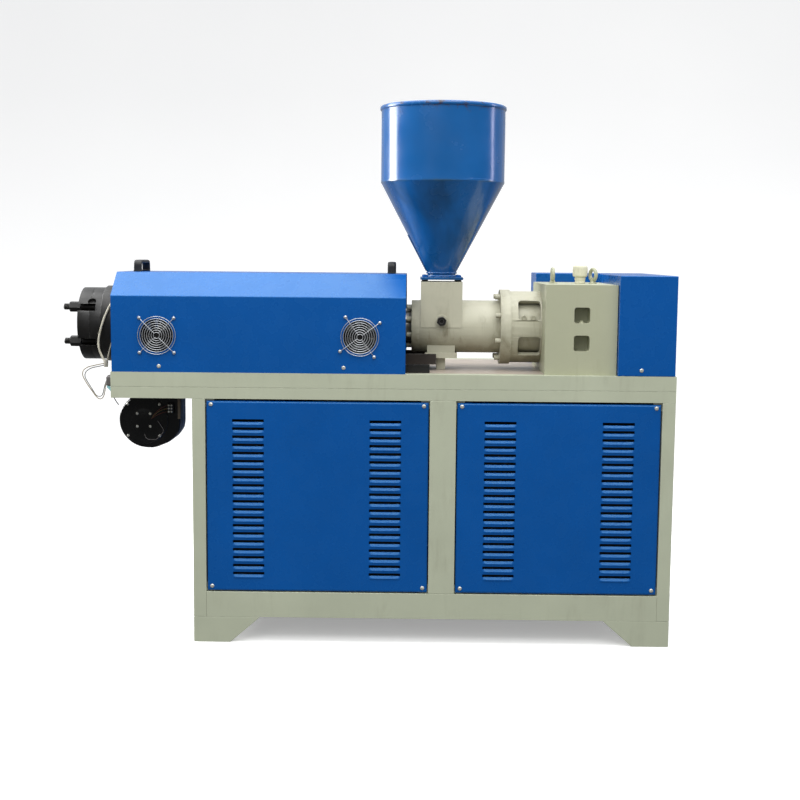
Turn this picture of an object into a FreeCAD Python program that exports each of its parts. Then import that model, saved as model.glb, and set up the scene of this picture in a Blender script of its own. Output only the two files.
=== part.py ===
import FreeCAD, Part
import Sketcher
import math
import os
import re
from FreeCAD import Rotation, Vector

# A single-screw plastic extruder on a welded table. Millimetres, +Z up, +X towards the gearbox,
# +Y away from the operator. Every sub-part is modelled from the corner where the left front leg
# meets the floor, and its Placement then moves that corner so that the machine stands on the
# centre of its own bounding box.

SIZES = {
    # table of square and rectangular tube
    "frame_length": 1470,
    "frame_depth": 650,
    "table_top": 840,
    "tube": 40,
    "beam_height": 80,
    "overhang": 247,
    "foot_height": 80,
    "foot_base": 113,
    "foot_reach": 205,
    "post_left": 725,
    "post_width": 80,
    "table_sheet": 8,
    "seam_depth": 46,
    "seam": 1.5,
    "seam_in": 0.5,
    # sheet-metal panels of the cabinet
    "panel_gap": 3,
    "panel_top_gap": 6,
    "panel_fold": 12,
    "panel_sheet": 2,
    "panel_recess": 1,
    "lug_side": 26,
    "lug_sheet": 4,
    "screw_inset": 15,
    "screw_radius": 6.5,
    "screw_head": 4,
    "cover_screw_first": 144,
    "cover_screw_second": 705,
    "cover_screw_guard": 103,
    "cover_screw_rise": 18,
    "louvre_width": 97,
    "louvre_pitch": 25,
    "louvre_count": 20,
    "louvre_height": 14,
    "louvre_slot": 6,
    "louvre_rise": 6,
    "louvre_low": 37,
    "louvre_outer": 128,
    "louvre_inner": 132,
    # barrel hood
    "hood_start": -243,
    "hood_length": 892,
    "drive_depth": 450,
    "hood_wall": 230.5,
    "hood_height": 301,
    "hood_bevel": 90,
    "hood_sheet": 2,
    "fan_first": 139,
    "fan_spacing": 615,
    "fan_height": 111.5,
    "fan_hole": 50,
    "fan_body": 119,
    "fan_thick": 38,
    "fan_hub": 21,
    "fan_hub_gap": 5,
    "fan_arm": 6,
    "fan_arm_sheet": 3,
    "fan_blades": 7,
    "fan_blade_gap": 3,
    "fan_blade_place": 10,
    "fan_blade_width": 26,
    "fan_blade_sheet": 1.6,
    "fan_blade_tilt": 48,
    "guard_radius": 57.5,
    "guard_turn": 9,
    "guard_wire": 2,
    "guard_pitch": 6.85,
    "guard_rings": 8,
    "guard_hole": 52.5,
    "guard_knob": 4.5,
    "guard_stand": 7,
    "handle_length": 138,
    "handle_width": 25,
    "handle_height": 37,
    "handle_grip": 11,
    "handle_left": 49.5,
    "handle_right": 845,
    "tray_inset": 12,
    "tray_end": 744,
    "tray_rise": 19,
    "tray_sheet": 3,
    "tray_width": 170,
    "tray_wall": 33,
    "runner_width": 30,
    "runner_first": 40,
    "runner_pitch": 390,
    "runner_count": 3,
    "trunking_inset": 30,
    "trunking_gap": 6,
    "trunking_end": 723,
    "trunking_height": 25,
    "trunking_width": 30,
    # screw, barrel and die end
    "axis_rise": 135,
    "bore": 23,
    "bore_play": 0.3,
    "barrel_radius": 55,
    "heater_radius": 76,
    "heater_length": 165,
    "heater_pitch": 195,
    "heater_start": -200,
    "heater_count": 4,
    "die_face": -375,
    "die_length": 73,
    "die_radius": 114,
    "collar_radius": 120,
    "collar_length": 70,
    "stud_radius": 10,
    "stud_length": 110,
    "stud_offset": 54,
    "stud_grip": 55,
    "nut_flats": 30,
    "nut_length": 36,
    "die_slot": 22,
    "die_arch": 13,
    "die_arch_depth": 12,
    "die_arch_angle": 39,
    "die_arch_place": 42,
    "outlet_radius": 20,
    # feed section
    "feed_start": 666,
    "feed_flange": 24,
    "feed_flange_radius": 82,
    "feed_end": 944,
    "feed_radius": 83,
    "feed_block_start": 695,
    "feed_block": 129,
    "feed_block_depth": 170,
    "feed_block_rise": 142,
    "throat_radius": 38,
    "boss_rise": 20,
    "boss_proud": 6,
    "cap_circle": 64,
    "cap_radius": 8,
    "cap_length": 16,
    "plug_radius": 18.5,
    "plug_flats": 27,
    "plug_length": 22,
    "saddle_width": 88,
    "saddle_depth": 120,
    "saddle_drop": 40,
    "shoe_width": 101,
    "shoe_depth": 140,
    "shoe_height": 16,
    "shoe_rise": 38,
    "pedestal_width": 28,
    "pedestal_depth": 90,
    # hopper
    "hopper_gap": 6,
    "hopper_flange": 135,
    "hopper_plate": 8,
    "hopper_neck": 44.5,
    "hopper_neck_height": 14,
    "hopper_cone_height": 280,
    "hopper_radius": 193.75,
    "hopper_drum_height": 226,
    "hopper_sheet": 2,
    "hopper_rim": 4.5,
    "spacer_radius": 9,
    "spacer_inset": 15,
    "spacer_nut": 7,
    # bell housing
    "bell_flange": 32,
    "bell_flange_radius": 118,
    "bell_radius": 113,
    "bell_wall": 15,
    "bell_end": 1072,
    "bell_bolt_circle": 103,
    "window_start": 998,
    "window_rim": 4,
    "window_corner": 10,
    "window_angle": 31,
    "window_width": 68,
    "bearing_radius": 88,
    # gearbox and belt guard
    "gearbox_end": 1290,
    "gearbox_inset": 22,
    "gearbox_height": 274,
    "pocket_side": 48,
    "pocket_start": 87,
    "pocket_low": 73,
    "pocket_high": 158,
    "pocket_depth": 60,
    "pocket_corner": 8,
    "breather_place": 127,
    "breather_radius": 23,
    "breather_neck": 16,
    "breather_neck_height": 20,
    "breather_height": 58,
    "eye_first": 40,
    "eye_second": 168,
    "eye_turn": 25,
    "eye_radius": 17,
    "eye_bar": 6,
    "eye_neck": 8,
    "guard_gap": 2,
    "belt_guard_end": 1466,
    "belt_guard_back": 640,
    "belt_guard_height": 303,
    "belt_guard_rear": 9,
    # blower under the overhang
    "blower_left": -257,
    "blower_radius": 97,
    "blower_front": 150,
    "blower_width": 95,
    "blower_drop": 157,
    "duct_length": 73,
    "duct_width": 75,
    "blower_plate": 77,
    "blower_hub_shift": 18,
    "blower_hub_drop": 9,
    "blower_beam_gap": 2,
    "blower_plate_sheet": 5,
    "blower_motor_radius": 52,
    "blower_motor_length": 80,
    "blower_bolt_circle": 71,
    "blower_hub_circle": 29,
    "blower_bolt_radius": 4,
    "blower_bolt_head": 4,
    "terminal_across": 56,
    "terminal_up": 13,
    "terminal_length": 22,
    "terminal_depth": 12,
    "terminal_height": 32,
    # glands of the leads
    "gland_place": 24,
    "gland_drop": 42,
    "tag_length": 13,
    "tag_inset": 6,
    "tag_sheet": 3,
    "tag_height": 24,
    "gland_side": 34,
    "gland_length": 25,
    "gland_height": 28,
    "block_length": 16,
    "block_height": 16,
    "tie_radius": 10,
    "tie_length": 24,
}

doc = FreeCAD.newDocument("plastic_extruder")
sheet = doc.addObject("Spreadsheet::Sheet", "size")
for row, (alias, value) in enumerate(SIZES.items(), start=1):
    sheet.set(f"A{row}", str(value))
    sheet.setAlias(f"A{row}", alias)
doc.recompute()

# derived levels and lines, as formulas of the sheet's cells
FLOOR_RAIL = "(foot_height + beam_height)"
BEAM_BOTTOM = "(table_top - beam_height)"
AXIS_Y = "drive_depth / 2"
AXIS_Z = "(table_top + axis_rise)"
STUD_TIP = "(die_face + stud_grip - stud_length)"
FRONT = "(guard_stand + guard_wire)"
ORIGIN_X = f"(frame_length + {STUD_TIP}) / 2"
ORIGIN_Y = f"(frame_depth + louvre_rise - panel_recess - {FRONT}) / 2"
DUCT_X = "(blower_left + 2 * blower_radius - duct_length)"
DUCT_Y = "(blower_front + (blower_width - duct_width) / 2)"
HOPPER_X = "(feed_block_start + feed_block / 2)"
HOPPER_Z = f"({AXIS_Z} + feed_block_rise + hopper_gap)"

ALONG = {"x": Rotation(Vector(0, 1, 0), 90), "y": Rotation(Vector(1, 0, 0), -90), "z": Rotation()}
sub_parts = []


def formula(text):
    """A formula with each named size pointed at its cell."""
    words = re.compile(r"[a-z][a-z_0-9]*")
    return words.sub(lambda word: f"size.{word[0]}" if word[0] in SIZES else word[0], str(text))


def number(text):
    """What a formula is worth at present."""
    return float(sheet.evalExpression(formula(text)))


def bind(target, **values):
    for name, text in values.items():
        target.setExpression(name, formula(text))


def place(target, x, y, z):
    for letter, text in zip("xyz", (x, y, z)):
        target.setExpression(f"Placement.Base.{letter}", formula(text))


def box(x, y, z, length, width, height):
    made = doc.addObject("Part::Box", "box")
    bind(made, Length=length, Width=width, Height=height)
    place(made, x, y, z)
    return made


def rod(axis, x, y, z, radius, length):
    made = doc.addObject("Part::Cylinder", "rod")
    made.Placement.Rotation = ALONG[axis]
    bind(made, Radius=radius, Height=length)
    place(made, x, y, z)
    return made


def hexagon(x, y, z, flats, length):
    """A hexagonal bar along X."""
    made = doc.addObject("Part::Prism", "hexagon")
    made.Polygon = 6
    made.Placement.Rotation = ALONG["x"]
    bind(made, Circumradius=f"({flats}) / 2 / cos(30)", Height=length)
    place(made, x, y, z)
    return made


def cut(base, *tools):
    made = doc.addObject("Part::Cut", "cut")
    made.Base = base
    made.Tool = tools[0] if len(tools) == 1 else group(*tools)
    return made


def rounded_prism(length, width, height, corner):
    """A bar along Y from the origin, with round corners in XZ."""
    tall = box(corner, "0", "0", f"{length} - 2 * {corner}", width, height)
    flat = box("0", "0", corner, length, width, f"{height} - 2 * {corner}")
    corners = [rod("y", x, "0", z, corner, width)
               for x in (corner, f"{length} - {corner}") for z in (corner, f"{height} - {corner}")]
    return fuse(tall, flat, *corners)


def group(*pieces):
    made = doc.addObject("Part::Compound", "group")
    made.Links = list(pieces)
    return made


def fuse(*pieces):
    made = doc.addObject("Part::MultiFuse", "fuse")
    made.Shapes = list(pieces)
    made.Refine = True
    return made


def sub_part(label, made, x="0", y="0", z="0"):
    """Name a finished piece and move it from the leg's corner to the machine's origin."""
    if made.TypeId == "Part::Box" or made.TypeId == "Part::Cylinder":
        made = group(made)
    made.Label = label
    place(made, f"{x} - {ORIGIN_X}", f"{y} - {ORIGIN_Y}", z)
    sub_parts.append(made)
    return made


def new_body(label):
    return doc.addObject("PartDesign::Body", label)


def new_sketch(body, role, depth="0"):
    """A sketch on one of the body's own planes, moved along its normal by depth."""
    made = body.newObject("Sketcher::SketchObject", "outline")
    plane = next(item for item in body.Origin.OriginFeatures if item.Role == role)
    made.AttachmentSupport = [(plane, "")]
    made.MapMode = "FlatFace"
    made.setExpression("AttachmentOffset.Base.z", formula(depth))
    return made


def fix_point(drawing, item, end, x, y):
    for kind, text in (("DistanceX", x), ("DistanceY", y)):
        index = drawing.addConstraint(Sketcher.Constraint(kind, -1, 1, item, end, number(text)))
        drawing.setExpression(f"Constraints[{index}]", formula(text))


def draw_corners(drawing, corners):
    """A closed outline through corners, each of them held by two bound distances."""
    first = drawing.GeometryCount
    points = [Vector(number(x), number(y), 0) for x, y in corners]
    for here, there in zip(points, points[1:] + points[:1]):
        drawing.addGeometry(Part.LineSegment(here, there), False)
    for step, (x, y) in enumerate(corners):
        before = first + (step - 1) % len(corners)
        drawing.addConstraint(Sketcher.Constraint("Coincident", before, 2, first + step, 1))
        fix_point(drawing, first + step, 1, x, y)


def draw_circle(drawing, x, y, radius):
    centre = Vector(number(x), number(y), 0)
    item = drawing.addGeometry(Part.Circle(centre, Vector(0, 0, 1), number(radius)), False)
    fix_point(drawing, item, 3, x, y)
    index = drawing.addConstraint(Sketcher.Constraint("Radius", item, number(radius)))
    drawing.setExpression(f"Constraints[{index}]", formula(radius))


def pad(body, drawing, length, reverse=False):
    made = body.newObject("PartDesign::Pad", "pad")
    made.Profile = drawing
    made.Reversed = reverse
    bind(made, Length=length)
    doc.recompute()
    return made


def pocket(body, drawing, length, reverse=False):
    """A pocket, checked to take some material away."""
    before = body.Shape.Volume
    made = body.newObject("PartDesign::Pocket", "pocket")
    made.Profile = drawing
    made.Reversed = reverse
    bind(made, Length=length)
    doc.recompute()
    assert body.Shape.Volume < before - 1, f"{body.Label}: a pocket that cuts nothing"
    return made


def revolution(body, drawing, axis):
    made = body.newObject("PartDesign::Revolution", "turned")
    made.Profile = drawing
    made.ReferenceAxis = (drawing, [axis])
    made.Angle = 360
    doc.recompute()
    return made


# ---------------------------------------------------------------- table frame


def table_frame():
    beam_length = "frame_length + overhang"
    for label, y in (("front_beam", "0"), ("rear_beam", "frame_depth - tube")):
        beam = box("-overhang", y, BEAM_BOTTOM, beam_length, "tube", "beam_height")
        groove_y = "-1" if y == "0" else "frame_depth - seam_in"
        groove = box("-overhang - 1", groove_y, "table_top - seam_depth", f"{beam_length} + 2",
                     "seam_in + 1", "seam")
        sub_part(label, cut(beam, groove))
    between = "frame_depth - 2 * tube"
    crosses = [
        box(x, "tube", BEAM_BOTTOM, "tube", between, "beam_height - table_sheet")
        for x in ("-overhang", "0", "post_left", "frame_length - tube")
    ]
    sub_part("cross_beams", group(*crosses))
    plate = box("-overhang", "tube", "table_top - table_sheet", beam_length, between, "table_sheet")
    hole = box(DUCT_X, DUCT_Y, "table_top - table_sheet - 1", "duct_length", "duct_width",
               "table_sheet + 2")
    sub_part("table_plate", cut(plate, hole))
    rows = ("0", "frame_depth - tube")
    leg_height = f"{BEAM_BOTTOM} - foot_height"
    legs = [
        box(x, y, "foot_height", "tube", "tube", leg_height)
        for x in ("0", "frame_length - tube") for y in rows
    ]
    post_height = f"{BEAM_BOTTOM} - {FLOOR_RAIL}"
    legs += [box("post_left", y, FLOOR_RAIL, "post_width", "tube", post_height) for y in rows]
    sub_part("legs", group(*legs))
    rails = [
        box("tube", y, "foot_height", "frame_length - 2 * tube", "tube", "beam_height") for y in rows
    ]
    rails += [
        box(x, "tube", "foot_height", "tube", between, "beam_height")
        for x in ("0", "frame_length - tube")
    ]
    sub_part("floor_rails", group(*rails))


def foot(sign, x, y):
    """A welded foot that widens from its sole to the floor rail."""
    body = new_body("foot")
    drawing = new_sketch(body, "XZ_Plane")
    outline = [("0", "0"), (f"{sign} * foot_base", "0"), (f"{sign} * foot_reach", "foot_height"),
               ("0", "foot_height")]
    draw_corners(drawing, outline)
    pad(body, drawing, "tube", reverse=True)
    place(body, x, y, "0")
    return body


def feet():
    sub_part("feet", group(*[
        foot(sign, x, y) for sign, x in ((1, "0"), (-1, "frame_length"))
        for y in ("0", "frame_depth - tube")
    ]))


# ---------------------------------------------------------------- cabinet panels

PANEL_Z = f"({FLOOR_RAIL} + panel_gap)"
PANEL_HEIGHT = f"({BEAM_BOTTOM} - panel_top_gap - {FLOOR_RAIL} - panel_gap)"
BAYS = {
    "left": ("(tube + panel_gap)", "(post_left - tube - 2 * panel_gap)"),
    "right": ("(post_left + post_width + panel_gap)",
              "(frame_length - tube - post_left - post_width - 2 * panel_gap)"),
}


def folded_sheet(body, width):
    """A sheet whose edges fold back, lying in XZ with its face towards -Y."""
    face = new_sketch(body, "XZ_Plane")
    draw_corners(face, [("0", "0"), (width, "0"), (width, PANEL_HEIGHT), ("0", PANEL_HEIGHT)])
    pad(body, face, "panel_fold", reverse=True)
    inner = new_sketch(body, "XZ_Plane", "-panel_fold")
    far = f"{width} - panel_sheet"
    high = f"{PANEL_HEIGHT} - panel_sheet"
    draw_corners(inner, [("panel_sheet", "panel_sheet"), (far, "panel_sheet"), (far, high),
                         ("panel_sheet", high)])
    pocket(body, inner, "panel_fold - panel_sheet", reverse=True)


def louvres(body, start):
    """One column of pressed louvres that open upwards."""
    side = new_sketch(body, "YZ_Plane", start)
    top = "louvre_low + louvre_height"
    draw_corners(side, [("0", "louvre_low"), ("0", top), ("-louvre_rise", top)])
    lip = pad(body, side, "louvre_width")
    mouth = new_sketch(body, "YZ_Plane", f"{start} + panel_sheet")
    slot = f"{top} - louvre_slot"
    slack = "1"
    draw_corners(mouth, [("panel_sheet + 1", slot), ("panel_sheet + 1", f"{top} + {slack}"),
                         ("panel_sheet - louvre_rise", f"{top} + {slack}"),
                         ("-louvre_rise / 3 + panel_sheet / 2", slot)])
    opening = pocket(body, mouth, "louvre_width - 2 * panel_sheet", reverse=True)
    rows = body.newObject("PartDesign::LinearPattern", "rows")
    rows.Originals = [lip, opening]
    upwards = next(item for item in body.Origin.OriginFeatures if item.Role == "Z_Axis")
    rows.Direction = (upwards, [""])
    bind(rows, Length="louvre_pitch * (louvre_count - 1)", Occurrences="louvre_count")
    body.Tip = rows
    doc.recompute()


def louvred_panel(label, side, turned=False):
    """A panel with two columns of louvres, the outer one nearer to the machine's end."""
    x, width = BAYS[side]
    body = new_body(label)
    folded_sheet(body, width)
    outer_first = (side == "left") != turned
    near, far = ("louvre_outer", "louvre_inner") if outer_first else ("louvre_inner", "louvre_outer")
    louvres(body, f"({near} - louvre_width / 2)")
    louvres(body, f"({width} - {far} - louvre_width / 2)")
    return body, x, width


def panels():
    for side in BAYS:
        label = f"front_panel_{side}"
        body, x, width = louvred_panel(label, side)
        sub_part(label, body, x, "panel_recess", PANEL_Z)
    for side in BAYS:
        label = f"rear_panel_{side}"
        body, x, width = louvred_panel(label, side, turned=True)
        body.Placement.Rotation = Rotation(Vector(0, 0, 1), 180)
        sub_part(label, body, f"{x} + {width}", "frame_depth - panel_recess", PANEL_Z)
    end_width = "(frame_depth - 2 * tube - 2 * panel_gap)"
    ends = []
    for turn, x, y in ((-90, "panel_recess", f"tube + panel_gap + {end_width}"),
                       (90, "frame_length - panel_recess", "tube + panel_gap")):
        body = new_body("end_panel")
        folded_sheet(body, end_width)
        body.Placement.Rotation = Rotation(Vector(0, 0, 1), turn)
        place(body, x, y, PANEL_Z)
        ends.append(body)
    sub_part("end_panels", group(*ends))


def panel_lugs_and_screws():
    """Tabs welded in the corners of each opening, and the screws that hold the panels to them."""
    lugs = []
    heads = []
    low = FLOOR_RAIL
    high = f"{BEAM_BOTTOM} - lug_side"
    screw_low = f"{PANEL_Z} + screw_inset"
    screw_high = f"{PANEL_Z} + {PANEL_HEIGHT} - screw_inset"
    back = "(panel_recess + panel_fold)"
    for x, width in BAYS.values():
        for lug_x, screw_x in ((f"{x} - panel_gap", f"{x} + screw_inset"),
                               (f"{x} + {width} + panel_gap - lug_side",
                                f"{x} + {width} - screw_inset")):
            for lug_z in (low, high):
                lugs.append(box(lug_x, back, lug_z, "lug_side", "lug_sheet", "lug_side"))
                lugs.append(box(lug_x, f"frame_depth - {back} - lug_sheet", lug_z, "lug_side",
                                "lug_sheet", "lug_side"))
            for z in (screw_low, screw_high):
                heads.append(rod("y", screw_x, "panel_recess - screw_head", z, "screw_radius",
                                 "screw_head"))
                heads.append(rod("y", screw_x, "frame_depth - panel_recess", z, "screw_radius",
                                 "screw_head"))
    for x in (back, f"frame_length - {back} - lug_sheet"):
        for y in ("tube", "frame_depth - tube - lug_side"):
            for z in (low, high):
                lugs.append(box(x, y, z, "lug_sheet", "lug_side", "lug_side"))
    sub_part("panel_lugs", group(*lugs))
    for x in ("hood_start + cover_screw_first", "hood_start + cover_screw_second",
              "belt_guard_end - cover_screw_guard"):
        heads.append(rod("y", x, "-screw_head / 2", "table_top + cover_screw_rise",
                         "screw_radius * 0.8", "screw_head / 2"))
    sub_part("cover_screws", group(*heads))


# ---------------------------------------------------------------- barrel hood

FAN_Z = "(table_top + fan_height)"
FAN_XS = ("(hood_start + fan_first)", "(hood_start + fan_first + fan_spacing)")


def hood():
    """One folded sheet over the barrel, open at both ends, with two fan holes in its front."""
    body = new_body("barrel_hood")
    section = new_sketch(body, "YZ_Plane")
    draw_corners(section, [
        ("0", "0"), ("hood_sheet", "0"),
        ("hood_sheet", "hood_wall - hood_sheet * 0.35"),
        ("hood_bevel + hood_sheet * 0.35", "hood_height - hood_sheet"),
        ("drive_depth - hood_bevel - hood_sheet * 0.35", "hood_height - hood_sheet"),
        ("drive_depth - hood_sheet", "hood_wall - hood_sheet * 0.35"),
        ("drive_depth - hood_sheet", "0"), ("drive_depth", "0"),
        ("drive_depth", "hood_wall"), ("drive_depth - hood_bevel", "hood_height"),
        ("hood_bevel", "hood_height"), ("0", "hood_wall"),
    ])
    pad(body, section, "hood_length")
    holes = new_sketch(body, "XZ_Plane")
    for x in ("fan_first", "fan_first + fan_spacing"):
        draw_circle(holes, x, "fan_height", "fan_hole")
    pocket(body, holes, "hood_sheet * 2")
    sub_part("barrel_hood", body, "hood_start", "0", "table_top")


def fan_units():
    """Axial fans screwed behind the hood's front: square case, hub and seven blades."""
    units = []
    for x in FAN_XS:
        case = box(f"{x} - fan_body / 2", "hood_sheet", f"{FAN_Z} - fan_body / 2", "fan_body",
                   "fan_thick", "fan_body")
        duct = rod("y", x, "hood_sheet - 1", FAN_Z, "fan_hole", "fan_thick + 2")
        rear = "hood_sheet + fan_thick - fan_arm_sheet"
        arms = [box(f"{x} - fan_hole", rear, f"{FAN_Z} - fan_arm / 2", "2 * fan_hole",
                    "fan_arm_sheet", "fan_arm"),
                box(f"{x} - fan_arm / 2", rear, f"{FAN_Z} - fan_hole", "fan_arm",
                    "fan_arm_sheet", "2 * fan_hole")]
        units.append(fuse(cut(case, duct), *arms))
        rotor = [rod("y", x, "hood_sheet + fan_hub_gap", FAN_Z, "fan_hub",
                     "fan_thick - fan_hub_gap - fan_arm_sheet")]
        for step in range(SIZES["fan_blades"]):
            blade = doc.addObject("Part::Box", "blade")
            bind(blade, Length="fan_hole - fan_blade_gap", Width="fan_blade_sheet",
                 Height="fan_blade_width")
            spin = Rotation(Vector(0, 1, 0), 360 / SIZES["fan_blades"] * step)
            blade.Placement.Rotation = spin * Rotation(Vector(1, 0, 0), -SIZES["fan_blade_tilt"])
            place(blade, x, "hood_sheet + fan_blade_place", FAN_Z)
            rotor.append(blade)
        units.append(fuse(*rotor))
    sub_part("fans", group(*units))


def fan_guard(x, turn):
    """Concentric rings on four arms with a screw knob at each end."""
    pieces = []
    for ring in range(int(number("guard_rings"))):
        radius = f"guard_radius - {ring} * guard_pitch"
        outer = rod("y", "0", "-guard_stand", "0", radius, "guard_wire")
        inner = rod("y", "0", "-guard_stand - 1", "0", f"{radius} - guard_wire", "guard_wire + 2")
        pieces.append(cut(outer, inner))
    reach = "guard_hole * sqrt(2)"
    inner_end = "(guard_radius - (guard_rings - 1) * guard_pitch - guard_wire)"
    for step in range(4):
        angle = 45 + 90 * step + turn
        arm = doc.addObject("Part::Box", "arm")
        bind(arm, Length=f"{reach} - {inner_end}", Width="guard_wire", Height="guard_wire")
        arm.Placement.Rotation = Rotation(Vector(0, 1, 0), angle)
        cosine = math.cos(math.radians(angle))
        sine = math.sin(math.radians(angle))
        side = "guard_wire / 2"
        place(arm, f"{inner_end} * {cosine} - {side} * {sine}", "-guard_stand",
              f"-{inner_end} * {sine} - {side} * {cosine}")
        pieces.append(arm)
        knob = rod("y", f"{reach} * {cosine}", "-guard_stand - guard_wire",
                   f"-{reach} * {sine}", "guard_knob", "guard_stand + guard_wire")
        pieces.append(knob)
    guard = fuse(*pieces)
    place(guard, x, "0", FAN_Z)
    return guard


def handles():
    """Two bridge handles across the hood's top, each with a finger gap under its grip."""
    made = []
    for start in ("handle_left", "handle_right"):
        x = f"hood_start + {start} - handle_width / 2"
        y = f"{AXIS_Y} - handle_length / 2"
        z = "table_top + hood_height"
        block = box(x, y, z, "handle_width", "handle_length", "handle_height")
        gap = box(f"{x} - 1", f"{y} + handle_grip * 1.6", f"{z} - 1", "handle_width + 2",
                  "handle_length - handle_grip * 3.2", "handle_height - handle_grip + 1")
        made.append(cut(block, gap))
    sub_part("hood_handles", group(*made))


def hood_floor():
    """The trough below the barrel, raised on cross runners, and the trunking along the front."""
    length = "tray_end - hood_start - tray_inset"
    x = "hood_start + tray_inset"
    y = f"({AXIS_Y} - tray_width / 2)"
    z = "(table_top + tray_rise)"
    floor = box(x, y, z, length, "tray_width", "tray_sheet")
    walls = [box(x, where, z, length, "tray_sheet", "tray_wall")
             for where in (y, f"{y} + tray_width - tray_sheet")]
    outlet = box(DUCT_X, DUCT_Y, f"{z} - 1", "duct_length", "duct_width", "tray_sheet + 2")
    sub_part("hood_tray", cut(fuse(floor, *walls), outlet))
    runners = [box(f"hood_start + runner_first + {step} * runner_pitch", y, "table_top",
                   "runner_width", "tray_width", "tray_rise")
               for step in range(SIZES["runner_count"])]
    sub_part("tray_runners", group(*runners))
    trunking = box("hood_start + trunking_inset", "hood_sheet + fan_thick + trunking_gap",
                   "table_top", "trunking_end - hood_start - trunking_inset", "trunking_width",
                   "trunking_height")
    sub_part("cable_trunking", trunking)


# ---------------------------------------------------------------- screw, barrel and die end


def barrel_and_die():
    end = "die_face + die_length"
    barrel_start = f"({end} + collar_length)"
    tube = rod("x", barrel_start, AXIS_Y, AXIS_Z, "barrel_radius", f"feed_start - {barrel_start}")
    hole = rod("x", f"{barrel_start} - 1", AXIS_Y, AXIS_Z, "bore",
               f"feed_start - {barrel_start} + 2")
    sub_part("barrel", cut(tube, hole))
    screw = rod("x", barrel_start, AXIS_Y, AXIS_Z, "bore - bore_play",
                f"bell_end - {barrel_start}")
    sub_part("extruder_screw", screw)
    bands = []
    for turn in range(int(number("heater_count"))):
        x = f"heater_start + {turn} * heater_pitch"
        outer = rod("x", x, AXIS_Y, AXIS_Z, "heater_radius", "heater_length")
        inner = rod("x", f"{x} - 1", AXIS_Y, AXIS_Z, "barrel_radius", "heater_length + 2")
        bands.append(cut(outer, inner))
    sub_part("heater_bands", group(*bands))
    collar = rod("x", end, AXIS_Y, AXIS_Z, "collar_radius", "collar_length")
    channel = rod("x", f"{end} - 1", AXIS_Y, AXIS_Z, "outlet_radius - 2", "collar_length + 2")
    sub_part("barrel_collar", cut(collar, channel))
    disc = rod("x", "die_face", AXIS_Y, AXIS_Z, "die_radius", "die_length")
    tools = [rod("x", "die_face - 1", AXIS_Y, AXIS_Z, "outlet_radius", "die_length + 2")]
    for side, start in ((-1, "-die_radius - 1"), (1, "stud_offset")):
        for rise in (-1, 1):
            tools.append(box("die_face - 1", f"{AXIS_Y} + {start}",
                             f"{AXIS_Z} + {rise} * stud_offset - die_slot / 2", "stud_grip + 1",
                             "die_radius - stud_offset + 1", "die_slot"))
            tools.append(rod("x", "die_face - 1", f"{AXIS_Y} + {side} * stud_offset",
                             f"{AXIS_Z} + {rise} * stud_offset", "die_slot / 2",
                             "stud_grip + 1"))
    ring = rod("x", "die_face + die_length / 2", AXIS_Y, AXIS_Z, "die_radius + 1", "seam")
    core = rod("x", "die_face + die_length / 2 - 1", AXIS_Y, AXIS_Z, "die_radius - seam",
               "seam + 2")
    tools.append(cut(ring, core))
    arch = doc.addObject("Part::Cylinder", "arch")
    slope = math.radians(SIZES["die_arch_angle"])
    arch.Placement.Rotation = Rotation(Vector(1, 0, 0), 90 - SIZES["die_arch_angle"])
    bind(arch, Radius="die_arch", Height="die_arch_depth + 20")
    depth = "(die_radius - die_arch_depth)"
    place(arch, "die_face + die_arch_place", f"{AXIS_Y} - {depth} * {math.cos(slope)}",
          f"{AXIS_Z} + {depth} * {math.sin(slope)}")
    tools.append(arch)
    sub_part("die_flange", cut(disc, *tools))
    studs = []
    nuts = []
    for side in (-1, 1):
        for rise in (-1, 1):
            y = f"{AXIS_Y} + {side} * stud_offset"
            z = f"{AXIS_Z} + {rise} * stud_offset"
            studs.append(rod("x", STUD_TIP, y, z, "stud_radius", "stud_length"))
            nut = hexagon("die_face - nut_length", y, z, "nut_flats", "nut_length")
            thread = rod("x", "die_face - nut_length - 1", y, z, "stud_radius",
                         "nut_length + 2")
            nuts.append(cut(nut, thread))
    sub_part("die_studs", group(*studs))
    sub_part("die_nuts", group(*nuts))


# ---------------------------------------------------------------- feed section


def cap_ring(count, circle, x, radius, length, offset_angle=0.0):
    """Round bolt heads on a circle about the barrel's axis."""
    heads = []
    for step in range(count):
        angle = math.radians(offset_angle + 360 / count * step)
        y = f"{AXIS_Y} + {circle} * {math.cos(angle)}"
        z = f"{AXIS_Z} + {circle} * {math.sin(angle)}"
        heads.append(rod("x", x, y, z, radius, length))
    return heads


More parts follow.
